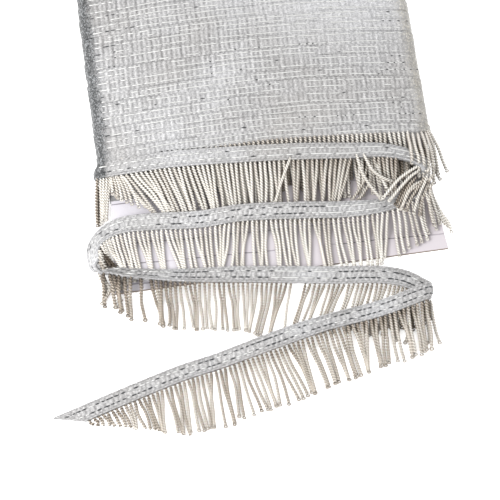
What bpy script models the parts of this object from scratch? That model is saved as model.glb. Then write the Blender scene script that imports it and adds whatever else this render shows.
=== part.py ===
"""Roll of bullion fringe: a flat winding on a card, its loose end laid in a zig-zag.

Every size below is in millimetres. The roll's rows run along X, the loose end lies on the -Y side,
and the origin is the centre of the roll's flat underside.
"""

import math
import random
from collections import namedtuple

import bmesh
import bpy
from mathutils import Vector

METRES_PER_MM = 0.001
SEAM = 0.3

# Winding
ROLL_HALF_WIDTH = 70.0
ROLL_FAR_Y = 85.0
ROLL_FRONT_Y = -82.0
ROW_COUNT = 30
ROW_STEP = 0.9
ROW_STEP_RUN = 0.7
ROW_SKEW = 1.6
ROW_UNEVENNESS = 0.4
SIDE_TOP_SHARE = 0.93
EDGE_HEIGHT = 9.2
CROWN_HEIGHT = 6.6
BUILD_UP_ROWS = 5
FIRST_ROW_LAYER = 1.4
SIDE_LAYER = 3.8
NOSE_Y = -99.0
NOSE_LAYER = 1.7
NOSE_SIDE_STEP = 2.0
NOSE_SIDE_DRAW = 2.8
NOSE_STATIONS = 5
NOSE_LUMP = 0.35
FRONT_STEP = 2.6

# Card
CARD_THICKNESS = 1.2
CARD_FAR_Y = 91.0
CARD_FRONT_Y = -135.0
CARD_HALF_WIDTH = 65.6
CARD_FRONT_SPREAD = 3.0
CARD_MIDDLE_HEIGHT = 4.6
CARD_ARCH = 3.2
CARD_BEND_Y = -80.0
CARD_FRONT_SLANT = 1.6
CARD_FRONT_STEPS = 5
CARD_ARCH_FADE = 1.25

# Trimming
TAPE_WIDTH = 7.0
TAPE_THICKNESS = 1.5
TAPE_RING_SPACING = 4.5
STRIP_WIDTH = 1.5
STRAND_LENGTH = 21.2
STRAND_THICKNESS = 1.5
STRAND_PITCH = 2.42
STRAND_ROOT = 1.6
STRAND_BEND = 0.6
STRAND_CLEARANCE = 0.3
STRAND_SPLAY_DEG = 1.2
STRAND_LENGTH_SPREAD = 0.7
CUT_DEG = 32.0
CUT_STRAND_RATE = 0.53
SHORTEST_STRAND = 2.5
SEED = 11

CUT_TIP_SHARE = 0.06
FOLD_RINGS = 8
RUN_START_GAP = 0.5
RUN_END_GAP = 1.0
SKIRT_START_X = -60.0
SKIRT_END_X = 66.0
ROUTE_STEPS = 24
EASE = 4.5
NOSE_EASE = 6.75
SHORT_STRAND = 6.0
SHORT_NECK_SHARE = 0.35
LONGEST_SHARE = 1.1
SPLAY_TRIES = 5
CLEAR_STEPS = 6
CLEAR_TOLERANCE = 0.1
CLEAR_FROM_SHARE = 0.4
BEND_PERCENTS = range(30, 90, 4)
BEND_LIFTS = (0.0, 0.3, 0.6, 0.9, 1.2, 1.6, 2.0, 2.5, 3.0)
NEIGHBOUR_SHARES = (0.3, 0.6, 0.8, 1.0)
SMOOTH_DEG = 40.0

LIE = STRAND_THICKNESS / 2
LAYER = STRAND_THICKNESS + 0.6
UP = Vector((0.0, 0.0, 1.0))

# One point of the loose end's centre line. rise is its height over what it lies on.
RoutePoint = namedtuple("RoutePoint", "x y rise")

# Where the tips of a row of strands end: y = at_middle + slope * x.
Reach = namedtuple("Reach", "at_middle slope")

# A fold lays the tape over itself along a line. edge is its outermost point, line_deg the fold line's
# heading, arrive_deg the tape's heading before it, and turn is +1 for a fold over and -1 for one under.
Fold = namedtuple("Fold", "edge_x edge_y line_deg arrive_deg radius start_z turn")

# How the strands of a run hang: heading and reach at a fraction of the run's length.
Hang = namedtuple("Hang", "along heading_deg reach lift")

FOLDS = (
    Fold(-70.8, -86.9, -90.0, 180.0, 4.2, 0.85, 1),
    Fold(64.6, -102.8, -90.0, -50.0, 2.0, 13.5, -1),
    Fold(-77.0, -121.4, -79.0, -132.0, 2.6, 3.8, 1),
    Fold(58.3, -151.8, -97.0, -27.0, 2.4, 0.75, 1),
)

RUN_1_ROUTE = (
    RoutePoint(-58.0, -86.9, 0.1),
    RoutePoint(-39.0, -86.9, 0.1),
    RoutePoint(-10.8, -87.6, 0.1),
    RoutePoint(15.0, -88.8, 0.1),
    RoutePoint(34.0, -90.3, 0.1),
    RoutePoint(50.0, -93.0, 0.8),
)
RUN_2_ROUTE = (
    RoutePoint(49.5, -114.8, 1.5),
    RoutePoint(30.0, -113.0, 1.1),
    RoutePoint(10.6, -111.4, 0.8),
    RoutePoint(-13.8, -109.9, 0.6),
    RoutePoint(-30.4, -110.4, 0.5),
    RoutePoint(-50.8, -109.6, 0.7),
    RoutePoint(-64.0, -111.0, 0.8),
)
RUN_3_ROUTE = (
    RoutePoint(-61.4, -129.8, 0.3),
    RoutePoint(-42.0, -132.6, 0.1),
    RoutePoint(-17.2, -135.8, 0.1),
    RoutePoint(22.2, -140.9, 0.1),
    RoutePoint(37.0, -143.6, 0.1),
    RoutePoint(48.0, -146.6, 0.1),
)
RUN_4_ROUTE = (
    RoutePoint(37.1, -156.9, 0.1),
    RoutePoint(13.5, -161.7, 0.1),
    RoutePoint(-4.1, -165.7, 0.1),
    RoutePoint(-19.0, -169.3, 0.9),
    RoutePoint(-32.0, -172.2, 0.0),
    RoutePoint(-46.5, -175.4, 0.0),
    RoutePoint(-75.6, -184.3, 0.0),
    RoutePoint(-97.6, -191.6, 0.0),
)

# Where each row's strands end, from the last tight row's on.
REACHES = (
    Reach(-105.3, -0.02),
    Reach(-114.4, -0.04),
    Reach(-138.2, -0.03),
    Reach(-166.3, -0.18),
)

SKIRT_HANG = (
    Hang(0.0, 268.0, 1.0, 0.0),
    Hang(0.6, 264.0, 1.0, 0.0),
    Hang(0.92, 267.0, 1.0, 0.0),
    Hang(1.0, 297.0, 0.85, 0.0),
)
RUN_1_HANG = (
    Hang(0.0, 276.0, 1.0, 0.0),
    Hang(0.3, 263.0, 1.0, 0.0),
    Hang(0.7, 261.0, 1.0, 0.0),
    Hang(0.86, 250.0, 0.82, 0.0),
    Hang(0.87, 226.0, 1.0, 5.9),
    Hang(1.0, 219.0, 1.0, 5.9),
)
RUN_2_HANG = (
    Hang(0.0, 286.0, 0.92, 0.0),
    Hang(0.22, 264.0, 0.94, 0.0),
    Hang(0.35, 264.0, 1.0, 0.0),
    Hang(0.75, 263.0, 1.0, 0.0),
    Hang(0.9, 282.0, 1.0, 0.0),
    Hang(1.0, 305.0, 1.0, 0.0),
)
RUN_3_HANG = (
    Hang(0.0, 252.0, 0.72, 0.0),
    Hang(0.12, 257.0, 0.82, 0.0),
    Hang(0.25, 260.0, 0.9, 0.0),
    Hang(0.45, 260.0, 0.98, 0.0),
    Hang(1.0, 262.0, 1.0, 0.0),
)
RUN_4_HANG = (
    Hang(0.0, 266.0, 1.0, 0.0),
    Hang(0.3, 268.0, 1.0, 0.0),
    Hang(0.6, 273.0, 1.0, 0.0),
    Hang(1.0, 283.0, 1.0, 0.0),
)


def smooth_step(value):
    """Ease from 0 to 1 with level ends."""
    value = max(0.0, min(1.0, value))
    return value * value * (3.0 - 2.0 * value)


def mix(start, end, share):
    return start + (end - start) * share


def heading_vector(degrees):
    """Level unit vector at a heading, counted from +X towards +Y."""
    return Vector((math.cos(math.radians(degrees)), math.sin(math.radians(degrees)), 0.0))


def roll_top(x):
    """Crowned top of the winding."""
    return EDGE_HEIGHT + CROWN_HEIGHT * (1.0 - (x / ROLL_HALF_WIDTH) ** 2)


def card_height(x, y):
    """Middle of the card: arched in the roll, then bending down and flattening in front of it."""
    drop = smooth_step((CARD_BEND_Y - y) / (CARD_BEND_Y - CARD_FRONT_Y))
    arch = CARD_ARCH * (1.0 - (x / ROLL_HALF_WIDTH) ** 2) * (1.0 - smooth_step(CARD_ARCH_FADE * drop))
    return mix(CARD_MIDDLE_HEIGHT, CARD_THICKNESS / 2, drop) + arch


def skew(x):
    """Shift of the rows along Y across the roll, from winding them at a slant."""
    return -ROW_SKEW * x / ROLL_HALF_WIDTH


def nose_top(x, row_y):
    """Top of the packed strands that show in front of the last row, at a place along the roll."""
    share = max(0.0, min(1.0, (ROLL_FRONT_Y - row_y) / (ROLL_FRONT_Y - NOSE_Y)))
    card_top = card_height(x, row_y + skew(x)) + CARD_THICKNESS / 2
    return mix(roll_top(x) - FRONT_STEP, card_top + NOSE_LAYER, share)


def bed_height(x, y):
    """Surface that the strands lie on: the packed strands, then the card, then the ground."""
    row_y = y - skew(x)
    if row_y > NOSE_Y:
        return nose_top(x, row_y) + NOSE_LUMP
    nose_ease = max(0.0, 1.0 - (NOSE_Y - row_y) / NOSE_EASE)
    left_ease = 1.0 - smooth_step((-CARD_HALF_WIDTH - CARD_FRONT_SPREAD - x) / EASE)
    front_y = CARD_FRONT_Y - CARD_FRONT_SLANT
    front_ease = max(0.0, 1.0 - max(0.0, front_y - y) / EASE)
    surface = card_height(x, max(y, front_y)) + CARD_THICKNESS / 2
    return (surface + (NOSE_LAYER + NOSE_LUMP) * nose_ease) * left_ease * front_ease


def rows_under(x, y, row):
    """How many rows of strands lie under a row here, fading out just past their tips."""
    count = 0.0
    for reach in REACHES[:row]:
        past_tips = reach.at_middle + reach.slope * x - y
        count += max(0.0, min(1.0, 1.0 - past_tips / EASE))
    return count


def lying_height(x, y, row):
    """Middle height of a strand of a row, or of the tape over it, where it lies on what is below."""
    bed = bed_height(x, y)
    seam = SEAM if bed > 0.0 else 0.0
    return bed + seam + rows_under(x, y, row) * LAYER + LIE


# Mesh helpers


def loft(mesh, rings, closed_ends):
    """Join equal closed rings of points into a tube, with flat ends where asked."""
    loops = [[mesh.verts.new(point) for point in ring] for ring in rings]
    count = len(loops[0])
    for near, far in zip(loops, loops[1:]):
        for i in range(count):
            j = (i + 1) % count
            mesh.faces.new((near[i], near[j], far[j], far[i]))
    if closed_ends:
        mesh.faces.new(loops[0])
        mesh.faces.new(reversed(loops[-1]))
    return loops


def finish_object(name, mesh, material):
    """Scale the mesh to metres, turn its faces outward and add it to the scene."""
    bmesh.ops.scale(mesh, vec=Vector((METRES_PER_MM,) * 3), verts=mesh.verts)
    bmesh.ops.recalc_face_normals(mesh, faces=mesh.faces)
    if mesh.calc_volume(signed=True) < 0.0:
        bmesh.ops.reverse_faces(mesh, faces=mesh.faces)
    data = bpy.data.meshes.new(name)
    mesh.to_mesh(data)
    mesh.free()
    data.materials.append(material)
    data.shade_smooth()
    data.set_sharp_from_angle(angle=math.radians(SMOOTH_DEG))
    result = bpy.data.objects.new(name, data)
    bpy.context.scene.collection.objects.link(result)
    return result


def make_material(name, color, roughness, metallic):
    material = bpy.data.materials.new(name)
    material.use_nodes = True
    shader = material.node_tree.nodes["Principled BSDF"]
    shader.inputs["Base Color"].default_value = (*color, 1.0)
    shader.inputs["Roughness"].default_value = roughness
    shader.inputs["Metallic"].default_value = metallic
    return material


# Winding


# Share of the half width at each top and bottom point of a section, and the rounded side between them.
LEVEL_SHARES = (-0.84, -0.56, -0.28, 0.0, 0.28, 0.56, 0.84)
SidePoint = namedtuple("SidePoint", "width_share height_share")
SIDE_POINTS = (
    SidePoint(0.935, 0.05),
    SidePoint(1.0, 0.33),
    SidePoint(1.0, 0.7),
    SidePoint(0.97, 0.97),
)
SLOT_SIDE_SHARES = (-1.0, -0.4, 0.4, 1.0)


def section_ring(y, left, right, bottom, top, raised):
    """Closed ring round the roll at y: level bottom, rounded sides and crowned top."""

    def point(x, z):
        return Vector((x, y + skew(x), z))

    ring = [point(share * ROLL_HALF_WIDTH, bottom(share * ROLL_HALF_WIDTH)) for share in LEVEL_SHARES]
    for side in SIDE_POINTS:
        x = side.width_share * right
        low, high = bottom(x), top(SIDE_TOP_SHARE * right)
        ring.append(point(x + raised, mix(low, high, side.height_share)))
    for share in reversed(LEVEL_SHARES):
        x = share * ROLL_HALF_WIDTH
        ring.append(point(x, top(x) + raised))
    for side in reversed(SIDE_POINTS):
        x = -side.width_share * left
        low, high = bottom(x), top(-SIDE_TOP_SHARE * left)
        ring.append(point(x - raised, mix(low, high, side.height_share)))
    return ring


def slot_ring(y):
    """Closed ring of the card's slot, with as many points as a section."""
    reach = CARD_HALF_WIDTH + SEAM
    gap = CARD_THICKNESS / 2 + SEAM

    def point(x, side):
        return Vector((x, y + skew(x), card_height(x, y + skew(x)) + side * gap))

    ring = [point(share * ROLL_HALF_WIDTH, -1.0) for share in LEVEL_SHARES]
    ring += [point(reach, side) for side in SLOT_SIDE_SHARES]
    ring += [point(share * ROLL_HALF_WIDTH, 1.0) for share in reversed(LEVEL_SHARES)]
    ring += [point(-reach, side) for side in reversed(SLOT_SIDE_SHARES)]
    return ring


def row_rings(row, rng):
    """The far edge of a row, standing over the row behind, and its lower front edge."""
    growth = smooth_step((row + 1.0) / BUILD_UP_ROWS)
    far_y = ROLL_FAR_Y - row * (ROLL_FAR_Y - ROLL_FRONT_Y) / ROW_COUNT
    front_y = ROLL_FAR_Y - (row + 1) * (ROLL_FAR_Y - ROLL_FRONT_Y) / ROW_COUNT
    layer = mix(FIRST_ROW_LAYER, SIDE_LAYER, growth)
    left = CARD_HALF_WIDTH + layer + rng.uniform(-ROW_UNEVENNESS, ROW_UNEVENNESS)
    right = CARD_HALF_WIDTH + layer + rng.uniform(-ROW_UNEVENNESS, ROW_UNEVENNESS)

    def bottom(x):
        return mix(card_height(x, far_y) - CARD_THICKNESS / 2 - FIRST_ROW_LAYER, 0.0, growth)

    def top(x):
        return mix(card_height(x, far_y) + CARD_THICKNESS / 2 + FIRST_ROW_LAYER, roll_top(x), growth)

    return (
        section_ring(far_y - ROW_STEP_RUN, left, right, bottom, top, ROW_STEP / 2),
        section_ring(front_y, left, right, bottom, top, -ROW_STEP / 2),
    )


def nose_rings(rng):
    """The packed strands of the last turns, lying above and below the card."""
    rings = []
    for station in range(NOSE_STATIONS):
        share = station / (NOSE_STATIONS - 1)
        y = mix(ROLL_FRONT_Y - ROW_STEP_RUN, NOSE_Y, share)
        half_width = ROLL_HALF_WIDTH - mix(NOSE_SIDE_STEP, NOSE_SIDE_DRAW, min(1.0, 2.0 * share))

        def bottom(_x):
            return 0.0

        def top(x):
            return nose_top(x, y) + rng.uniform(-NOSE_LUMP, NOSE_LUMP)

        rings.append(section_ring(y, half_width, half_width, bottom, top, 0.0))
    return rings


def make_roll(material):
    """The winding, one solid round the card's slot."""
    rng = random.Random(SEED)
    rings = [ring for row in range(ROW_COUNT) for ring in row_rings(row, rng)]
    rings += nose_rings(rng)
    mesh = bmesh.new()
    outside = loft(mesh, rings, closed_ends=False)
    slot_stations = (ROLL_FAR_Y - ROW_STEP_RUN, CARD_BEND_Y, 0.5 * (CARD_BEND_Y + NOSE_Y), NOSE_Y)
    inside = loft(mesh, [slot_ring(y) for y in slot_stations], closed_ends=False)
    for outer, inner in ((outside[0], inside[0]), (outside[-1], inside[-1])):
        for i, corner in enumerate(outer):
            j = (i + 1) % len(outer)
            mesh.faces.new((corner, outer[j], inner[j], inner[i]))
    return finish_object("wound_roll", mesh, material)


def make_card(material):
    """The card, one bent sheet from behind the roll to its front edge on the ground."""
    stations = [CARD_FAR_Y, ROLL_FAR_Y - ROW_STEP_RUN, CARD_BEND_Y, 0.5 * (CARD_BEND_Y + NOSE_Y), NOSE_Y]
    stations += [mix(NOSE_Y, CARD_FRONT_Y, (i + 1) / CARD_FRONT_STEPS) for i in range(CARD_FRONT_STEPS)]
    inner = [share * ROLL_HALF_WIDTH for share in LEVEL_SHARES]
    rings = []
    for y in stations:
        free = max(0.0, (CARD_BEND_Y - y) / (CARD_BEND_Y - CARD_FRONT_Y))
        half_width = CARD_HALF_WIDTH + CARD_FRONT_SPREAD * max(0.0, (NOSE_Y - y) / (NOSE_Y - CARD_FRONT_Y))
        across = [-half_width, *inner, half_width]
        slant = ROW_SKEW if y > NOSE_Y - SEAM else mix(ROW_SKEW, -CARD_FRONT_SLANT, smooth_step(free))
        lower = []
        upper = []
        for x in across:
            skewed = y - slant * x / ROLL_HALF_WIDTH
            middle = card_height(x, skewed)
            lower.append(Vector((x, skewed, middle - CARD_THICKNESS / 2)))
            upper.append(Vector((x, skewed, middle + CARD_THICKNESS / 2)))
        rings.append(lower + upper[::-1])
    mesh = bmesh.new()
    loops = loft(mesh, rings, closed_ends=False)
    last = len(loops[0]) - 1
    for end in (loops[0], loops[-1]):
        for i in range(len(inner) + 1):
            mesh.faces.new((end[i], end[i + 1], end[last - i - 1], end[last - i]))
    return finish_object("winding_card", mesh, material)


# Loose end


class Station:
    """A place along the tape: its middle, way on, fringed side and face."""

    def __init__(self, place, onward, fringed, face):
        self.place = place
        self.onward = onward.normalized()
        self.fringed = fringed.normalized()
        self.face = face.normalized()


def fold_parts(fold):
    """Fold line, outward direction, and advance along the line for each radian of the turn."""
    line = heading_vector(fold.line_deg)
    arrive = heading_vector(fold.arrive_deg)
    outward = arrive - line * arrive.dot(line)
    advance = arrive.dot(line) / outward.length
    return line, outward.normalized(), advance


def fold_station(fold, angle, side):
    """The tape at an angle round a fold: a half turn of a coil about the fold line."""
    line, outward, advance = fold_parts(fold)
    place = Vector((fold.edge_x, fold.edge_y, fold.start_z))
    place += line * (advance * fold.radius * (angle - math.pi / 2))
    place += outward * (fold.radius * (math.sin(angle) - 1.0))
    place += UP * (fold.turn * fold.radius * (1.0 - math.cos(angle)))
    around = outward * math.cos(angle) + UP * (fold.turn * math.sin(angle))
    slope = math.atan2(1.0, advance)
    onward = line * math.cos(slope) + around * math.sin(slope)
    fringed = line * math.sin(slope) - around * math.cos(slope)
    face = (UP * math.cos(angle) - outward * (fold.turn * math.sin(angle))) * side
    return Station(place, onward, fringed, face)


def leave_deg(fold):
    """The tape's heading after a fold, mirrored in the fold line."""
    return 2.0 * fold.line_deg - fold.arrive_deg


def smooth_route(places, start_deg, end_deg):
    """Finely spaced places on a smooth curve through the route's points."""
    tangents = [heading_vector(start_deg)]
    for before, here, after in zip(places, places[1:], places[2:]):
        tangents.append((after - before) / ((here - before).length + (after - here).length))
    tangents.append((places[-1] - places[-2]).normalized() if end_deg is None else heading_vector(end_deg))
    curve = []
    for i in range(len(places) - 1):
        span = (places[i + 1] - places[i]).length
        for step in range(ROUTE_STEPS):
            t = step / ROUTE_STEPS
            place = places[i] * (2 * t**3 - 3 * t**2 + 1) + places[i + 1] * (3 * t**2 - 2 * t**3)
            place += tangents[i] * span * (t**3 - 2 * t**2 + t)
            place += tangents[i + 1] * span * (t**3 - t**2)
            place.z = max(place.z, LIE)
            curve.append(place)
    curve.append(places[-1])
    return curve


def tape_bed(x, y, row):
    """Height and tilt of the tape where it lies across the rows below it."""
    plain_side = lying_height(x, y + TAPE_WIDTH / 2, row)
    fringed_side = lying_height(x, y - TAPE_WIDTH / 2, row)
    height = max(lying_height(x, y, row), (plain_side + fringed_side) / 2)
    return height, math.atan2(plain_side - fringed_side, TAPE_WIDTH)


class Run:
    """One stretch of the tape between two folds, measured along its middle."""

    def __init__(self, row, start, route, end, fringe_hand, side):
        places = [start[0]]
        tilts = [0.0]
        for point in route:
            height, tilt = tape_bed(point.x, point.y, row)
            places.append(Vector((point.x, point.y, height + point.rise)))
            tilts.append(tilt)
        if end is not None:
            places.append(end[0])
            tilts.append(0.0)
        self.curve = smooth_route(places, start[1], end[1] if end else None)
        self.tilts = tilts
        self.marks = [0.0]
        for before, after in zip(self.curve, self.curve[1:]):
            self.marks.append(self.marks[-1] + (after - before).length)
        self.length = self.marks[-1]
        self.fringe_hand = fringe_hand
        self.side = side

    def station(self, distance):
        """The tape at a distance from the run's start."""
        i = 0
        while i < len(self.marks) - 2 and self.marks[i + 1] < distance:
            i += 1
        share = (distance - self.marks[i]) / (self.marks[i + 1] - self.marks[i])
        place = self.curve[i].lerp(self.curve[i + 1], share)
        span, part = divmod((i + share) / ROUTE_STEPS, 1.0)
        span = min(int(span), len(self.tilts) - 2)
        tilt = mix(self.tilts[span], self.tilts[span + 1], part)
        onward = (self.curve[min(len(self.curve) - 1, i + 2)] - self.curve[max(0, i - 1)]).normalized()
        level = Vector((-onward.y, onward.x, 0.0)).normalized() * self.fringe_hand
        fringed = level * math.cos(tilt) - UP * math.sin(tilt)
        face = onward.cross(fringed) * self.fringe_hand
        return Station(place, onward, face.cross(onward) * self.fringe_hand, face * self.side)


def folded_path():
    """The runs of the loose end, each starting where the fold before it leaves."""
    routes = (RUN_1_ROUTE, RUN_2_ROUTE, RUN_3_ROUTE, RUN_4_ROUTE)
    runs = []
    side = -1
    hand = -1
    for i, route in enumerate(routes):
        start = (fold_station(FOLDS[i], math.pi, side).place, leave_deg(FOLDS[i]))
        end = None
        if i + 1 < len(FOLDS):
            end = (fold_station(FOLDS[i + 1], 0.0, side).place, FOLDS[i + 1].arrive_deg)
        runs.append(Run(i + 1, start, route, end, hand, side))
        side = -side
        hand = -hand
    return runs


def tape_ring(station, fringed_reach):
    """Four corners of the tape's section, its fringed edge at a given reach from the middle."""
    plain_edge = station.place - station.fringed * (TAPE_WIDTH / 2)
    fringed_edge = station.place + station.fringed * fringed_reach
    half = station.face * (TAPE_THICKNESS / 2)
    ring = [plain_edge + half, fringed_edge + half, fringed_edge - half, plain_edge - half]
    below_ground = max(0.0, -min(corner.z for corner in ring))
    return [corner + UP * below_ground for corner in ring]


def cut_reach(distance_to_tip):
    """Reach of the fringed edge near the slanting cut."""
    cut_length = TAPE_WIDTH / math.tan(math.radians(CUT_DEG))
    kept = min(1.0, max(CUT_TIP_SHARE, distance_to_tip / cut_length))
    return TAPE_WIDTH * (kept - 0.5)


def make_tape(runs, material):
    """The loose end of the heading, one sheet through its folds and runs."""
    rings = []
    for fold, run in zip(FOLDS, runs):
        for step in range(FOLD_RINGS):
            station = fold_station(fold, math.pi * step / (FOLD_RINGS - 1), -run.side)
            rings.append(tape_ring(station, TAPE_WIDTH / 2))
        count = round(run.length / TAPE_RING_SPACING)
        is_last = run is runs[-1]
        for step in range(1, count + 1 if is_last else count):
            distance = run.length * step / count
            reach = cut_reach(run.length - distance) if is_last else TAPE_WIDTH / 2
            rings.append(tape_ring(run.station(distance), reach))
    mesh = bmesh.new()
    loft(mesh, rings, closed_ends=True)
    return finish_object("tail_heading", mesh, material)


def hang_at(table, share):
    """How a strand hangs at a share of its run's length."""
    for before, after in zip(table, table[1:]):
        if share <= after.along:
            part = (share - before.along) / (after.along - before.along)
            return Hang(share, *(mix(a, b, part) for a, b in zip(before[1:], after[1:])))
    return table[-1]


def is_clear(start, end, row, lift):
    """Whether a stretch of strand stays above what it lies on."""
    for step in range(1, CLEAR_STEPS + 1):
        point = start.lerp(end, step / CLEAR_STEPS)
        if point.z < lying_height(point.x, point.y, row) + lift - CLEAR_TOLERANCE:
            return False
    return True


def strand_places(root, fringed, hang, length, row):
    """Root, neck, bend and tip of a strand that droops to what it lies on and rests there."""
    way = heading_vector(hang.heading_deg)
    neck = root + (fringed + way).normalized() * STRAND_ROOT
    neck.z = max(neck.z, LIE)

    def lying(share, extra):
        point = root + way * (length * share)
        point.z = lying_height(point.x, point.y, row) + hang.lift + extra
        return point

    drop = max(0.0, root.z - lying(1.0, 0.0).z)
    length = math.sqrt(max(length**2 - drop**2, 1.0))
    tip = lying(1.0, 0.0)
    if length < SHORT_STRAND:
        neck = root.lerp(tip, SHORT_NECK_SHARE)
        return [root, neck, neck.lerp(tip, 0.5), tip]
    for extra in BEND_LIFTS:
        lowest = None
        for percent in BEND_PERCENTS:
            bend = lying(percent / 100, extra)
            if not is_clear(neck.lerp(bend, CLEAR_FROM_SHARE), bend, row, hang.lift):
                continue
            if not is_clear(bend, tip, row, hang.lift):
                continue
            area = (neck.z + bend.z) * percent + (bend.z + tip.z) * (100 - percent)
            if lowest is None or area < lowest[0]:
                lowest = (area, bend)
        if lowest is not None:
            return [root, neck, lowest[1], tip]
    return [root, neck, neck.lerp(tip, STRAND_BEND) + UP * LIE, tip]


def clears_neighbour(places, neighbour):
    """Whether a strand keeps its side of the one before it all the way down."""
    if neighbour is None:
        return True
    gaps = []
    for share in NEIGHBOUR_SHARES:
        here = point_along(places, share)
        there = point_along(neighbour, share)
        way = places[-1] - places[1]
        across = Vector((way.y, -way.x, 0.0)).normalized()
        gaps.append((here - there).dot(across))
    least = STRAND_THICKNESS + STRAND_CLEARANCE
    return min(gaps) > least or max(gaps) < -least


def point_along(places, share):
    """Point at a share of the way from the neck through the bend to the tip."""
    neck, bend, tip = places[1:]
    first = (bend - neck).length / ((bend - neck).length + (tip - bend).length)
    if share < first:
        return neck.lerp(bend, share / first)
    return bend.lerp(tip, (share - first) / (1.0 - first))


def grow_strand(mesh, face, places, root_along):
    """Extrude a face of the strip along a strand, level across, in square sections."""
    for before, here in zip(places, places[1:]):
        way = here - before
        across = Vector((-way.y, way.x, 0.0)).normalized()
        if across.dot(root_along) < 0.0:
            across.negate()
        face = bmesh.ops.extrude_discrete_faces(mesh, faces=[face])["faces"][0]
        center = face.calc_center_median()
        for corner in face.verts:
            offset = corner.co - center
            along_sign = math.copysign(1.0, offset.dot(root_along))
            up_sign = math.copysign(1.0, offset.z)
            corner.co = here + across * (along_sign * LIE) + UP * (up_sign * LIE)
        root_along = across


def make_fringe(name, row, stations, offset, hangs, reach_limit, material, rng):
    """A narrow strip along the tape's edge, with its strands standing apart from their roots on."""
    mesh = bmesh.new()
    rings = []
    for station in stations:
        inner = station.place + station.fringed * offset
        outer = station.place + station.fringed * (offset + STRIP_WIDTH)
        inner.z = max(inner.z, LIE)
        outer.z = max(outer.z, LIE)
        rings.append([inner, outer + UP * LIE, outer - UP * LIE])
    loops = loft(mesh, rings, closed_ends=True)
    neighbour = None
    for i in range(len(stations) - 1):
        corners = {loops[i][1], loops[i + 1][1], loops[i + 1][2], loops[i][2]}
        face = next(f for f in loops[i][1].link_faces if set(f.verts) == corners)
        root = face.calc_center_median()
        share = (i + 0.5) / (len(stations) - 1)
        middle = hang_at(hangs, share)
        length = middle.reach * STRAND_LENGTH + rng.uniform(-STRAND_LENGTH_SPREAD, STRAND_LENGTH_SPREAD)
        length = min(length, reach_limit(share))
        if length < SHORTEST_STRAND:
            continue
        for _ in range(SPLAY_TRIES):
            splay = rng.uniform(-STRAND_SPLAY_DEG, STRAND_SPLAY_DEG)
            hang = middle._replace(heading_deg=middle.heading_deg + splay)
            places = strand_places(root, stations[i].fringed, hang, length, row)
            if clears_neighbour(places, neighbour):
                grow_strand(mesh, face, places, stations[i].onward)
                neighbour = places
                break
    return finish_object(name, mesh, material)


def run_stations(run, start, end):
    """Stations a strand's pitch apart along part of a run."""
    count = round((end - start) / STRAND_PITCH)
    return [run.station(mix(start, end, i / count)) for i in range(count + 1)]


def skirt_stations():
    """Stations along the lower edge of the last tight row."""
    count = round((SKIRT_END_X - SKIRT_START_X) / STRAND_PITCH)
    stations = []
    for i in range(count + 1):
        x = mix(SKIRT_START_X, SKIRT_END_X, i / count)
        y = ROLL_FRONT_Y - ROW_STEP_RUN - SEAM + skew(x)
        place = Vector((x, y, lying_height(x, y - STRIP_WIDTH, 0)))
        stations.append(Station(place, Vector((1.0, 0.0, 0.0)), Vector((0.0, -1.0, 0.0)), UP))
    return stations


def main():
    for old in list(bpy.data.objects):
        bpy.data.objects.remove(old)
    rng = random.Random(SEED)
    heading_metal = make_material("heading_metal_thread", (0.58, 0.58, 0.56), 0.42, 0.6)
    strand_metal = make_material("bullion_strand", (0.66, 0.62, 0.55), 0.45, 0.5)
    card_paper = make_material("card_paper", (0.74, 0.71, 0.74), 0.85, 0.0)
    make_roll(heading_metal)
    make_card(card_paper)
    runs = folded_path()
    make_tape(runs, heading_metal)

    def full_reach(_share):
        return STRAND_LENGTH * LONGEST_SHARE

    make_fringe("skirt_last_turn", 0, skirt_stations(), 0.0, SKIRT_HANG, full_reach, strand_metal, rng)
    tape_edge = TAPE_WIDTH / 2 + SEAM
    hang_tables = (RUN_1_HANG, RUN_2_HANG, RUN_3_HANG, RUN_4_HANG)
    cut_length = TAPE_WIDTH / math.tan(math.radians(CUT_DEG))
    for row, (run, hangs) in enumerate(zip(runs, hang_tables), start=1):
        end = run.length - RUN_END_GAP - (cut_length if row == len(runs) else 0.0)

        def cut_limit(share, end=end):
            """Reach of a strand down to the slanting cut."""
            return CUT_STRAND_RATE * (end * (1.0 - share) + RUN_END_GAP)

        limit = cut_limit if row == len(runs) else full_reach
        stations = run_stations(run, RUN_START_GAP, end)
        make_fringe(f"tail_fringe_run_{row}", row, stations, tape_edge, hangs, limit, strand_metal, rng)


main()
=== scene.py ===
import math
import random
from collections import namedtuple

import bmesh
import bpy
from mathutils import Matrix, Vector


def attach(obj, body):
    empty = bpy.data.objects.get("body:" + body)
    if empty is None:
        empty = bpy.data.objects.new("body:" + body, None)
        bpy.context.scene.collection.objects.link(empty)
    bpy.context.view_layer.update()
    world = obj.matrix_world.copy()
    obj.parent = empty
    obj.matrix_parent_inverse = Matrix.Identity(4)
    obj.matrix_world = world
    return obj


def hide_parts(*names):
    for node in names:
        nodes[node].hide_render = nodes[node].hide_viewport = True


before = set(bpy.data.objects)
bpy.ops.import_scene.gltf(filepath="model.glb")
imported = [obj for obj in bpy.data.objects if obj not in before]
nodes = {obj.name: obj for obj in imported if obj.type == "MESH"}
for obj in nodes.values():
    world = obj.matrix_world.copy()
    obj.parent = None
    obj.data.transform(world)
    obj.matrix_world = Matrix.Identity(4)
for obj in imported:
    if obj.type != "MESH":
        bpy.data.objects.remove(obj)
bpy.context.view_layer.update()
toMetres = 0.001  # everything below is worked out in millimetres and scaled at the end
weldMm = 0.0001
up = Vector((0.0, 0.0, 1.0))
print("frame loaded, nodes:", len(nodes))


# Small helpers

def smoothStep(value):
    value = max(0.0, min(1.0, value))
    return value * value * (3.0 - 2.0 * value)


def easeBetween(value, start, end):
    return smoothStep((value - start) / (end - start))


def mix(start, end, share):
    return start + (end - start) * share


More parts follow.
